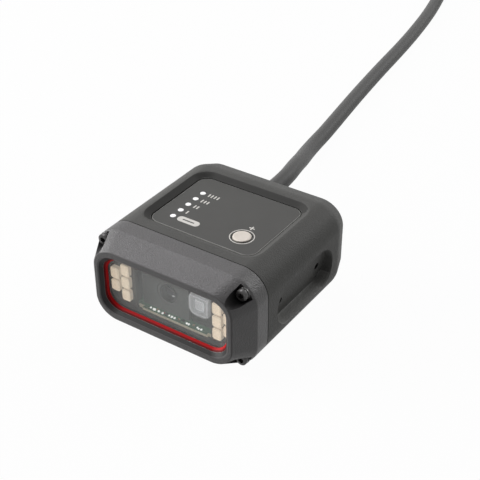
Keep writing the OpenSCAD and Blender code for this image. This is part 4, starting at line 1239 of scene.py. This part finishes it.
class READER_OT_button(Operator):
    """Press button: a faintly dished cap on its flange and stem"""
    bl_idname = "reader.button"
    bl_label = "Button"

    def execute(self, context):
        low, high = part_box("tune_button")
        top = (high.z - low.z) / MM
        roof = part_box("rear_housing")[1].z - context.scene.reader_sizes.wall
        flange = (roof - 0.1 * MM - low.z) / MM
        outline = [(0, 0), (1.1, 0), (1.2, 0.1), (1.2, flange - 0.9), (3.8, flange - 0.9),
                   (3.9, flange - 0.8), (3.9, flange - 0.1), (3.8, flange), (3.0, flange),
                   (3.0, top - 0.3), (2.92, top - 0.1), (2.75, top), (2.3, top - 0.02), (1.2, top - 0.08),
                   (0, top - 0.1)]
        middle = (low + high) / 2
        cap = add_turned("press_button", outline, (middle.x, middle.y, low.z), (0, 0, 1))
        dress(smooth(cap, 35), "button_white", "tune_button", body="button")
        return {"FINISHED"}


class READER_OT_relief(Operator):
    """Ribbed strain relief where the lead leaves the back"""
    bl_idname = "reader.relief"
    bl_label = "Strain relief"

    def execute(self, context):
        low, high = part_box("strain_relief")
        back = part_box("rear_housing")[1].y
        start = Vector(LEAD_ROUTE[0]) * MM
        inner, length = (low.y - back) / MM, (high.y - back) / MM
        root, tip = 5.2, 3.9
        rib_count, rib_pitch, first_rib = 4, 3, 1.5
        outline = [(0, inner), (5.3, inner), (5.4, inner + 0.1), (5.4, -3.2), (4.15, -3.2), (4.15, 0),
                   (root, 0.05), (root, first_rib)]
        for k in range(rib_count):
            base = first_rib + rib_pitch * k
            for step, depth in ((0.7, 0), (0.95, 0.35), (1.2, 0.55), (1.6, 0.55), (1.85, 0.35), (2.1, 0)):
                outline.append((root + (tip - root) * (base + step) / length - depth, base + step))
        outline += [(tip + 0.1, length - 0.6), (tip - 0.15, length - 0.1), (tip - 0.4, length), (0, length)]
        sleeve = add_turned("relief_sleeve", outline, (start.x, back, start.z), (0, 1, 0))
        dress(smooth(sleeve, 50), "seal_black", "strain_relief")
        return {"FINISHED"}


class READER_OT_inner_finishes(Operator):
    """Finishes of the CAD pieces that keep their own shape"""
    bl_idname = "reader.inner_finishes"
    bl_label = "Inner finishes"

    def execute(self, context):
        slots = {s["node"]: s["material_slot"] for s in frame["record"]["subparts"]}
        for node, obj in frame["nodes"].items():
            paint(obj, slots[node])
        return {"FINISHED"}


STEPS = (
    READER_OT_stage, READER_OT_lead, READER_OT_housing, READER_OT_bezel, READER_OT_screws,
    READER_OT_window, READER_OT_lamps, READER_OT_camera, READER_OT_aimer, READER_OT_board_parts,
    READER_OT_label, READER_OT_button, READER_OT_relief, READER_OT_inner_finishes,
)


class READER_PT_dressing(Panel):
    """Lists the reader's pieces and settings"""
    bl_label = "Barcode reader"
    bl_space_type = "VIEW_3D"
    bl_region_type = "UI"
    bl_category = "Reader"

    def draw(self, context):
        for step in STEPS:
            self.layout.operator(step.bl_idname)
        for group in (context.scene.reader_sizes, context.scene.reader_colours, context.scene.reader_studio):
            column = self.layout.column()
            for name in group.__annotations__:
                column.prop(group, name)


CLASSES = (ReaderSizes, ReaderColours, StudioSettings, *STEPS, READER_PT_dressing)


def register():
    for cls in CLASSES:
        bpy.utils.register_class(cls)
    bpy.types.Scene.reader_sizes = PointerProperty(type=ReaderSizes)
    bpy.types.Scene.reader_colours = PointerProperty(type=ReaderColours)
    bpy.types.Scene.reader_studio = PointerProperty(type=StudioSettings)


def unregister():
    del bpy.types.Scene.reader_studio
    del bpy.types.Scene.reader_colours
    del bpy.types.Scene.reader_sizes
    for cls in reversed(CLASSES):
        bpy.utils.unregister_class(cls)


def main():
    register()
    FINISHES.update(make_finishes(bpy.context.scene.reader_colours))
    bpy.ops.reader.stage()
    bpy.ops.reader.lead()
    bpy.ops.reader.housing()
    bpy.ops.reader.bezel()
    bpy.ops.reader.screws()
    bpy.ops.reader.window()
    bpy.ops.reader.lamps()
    bpy.ops.reader.camera()
    bpy.ops.reader.aimer()
    bpy.ops.reader.board_parts()
    bpy.ops.reader.label()
    bpy.ops.reader.button()
    bpy.ops.reader.relief()
    bpy.ops.reader.inner_finishes()


if __name__ == "__main__":
    main()
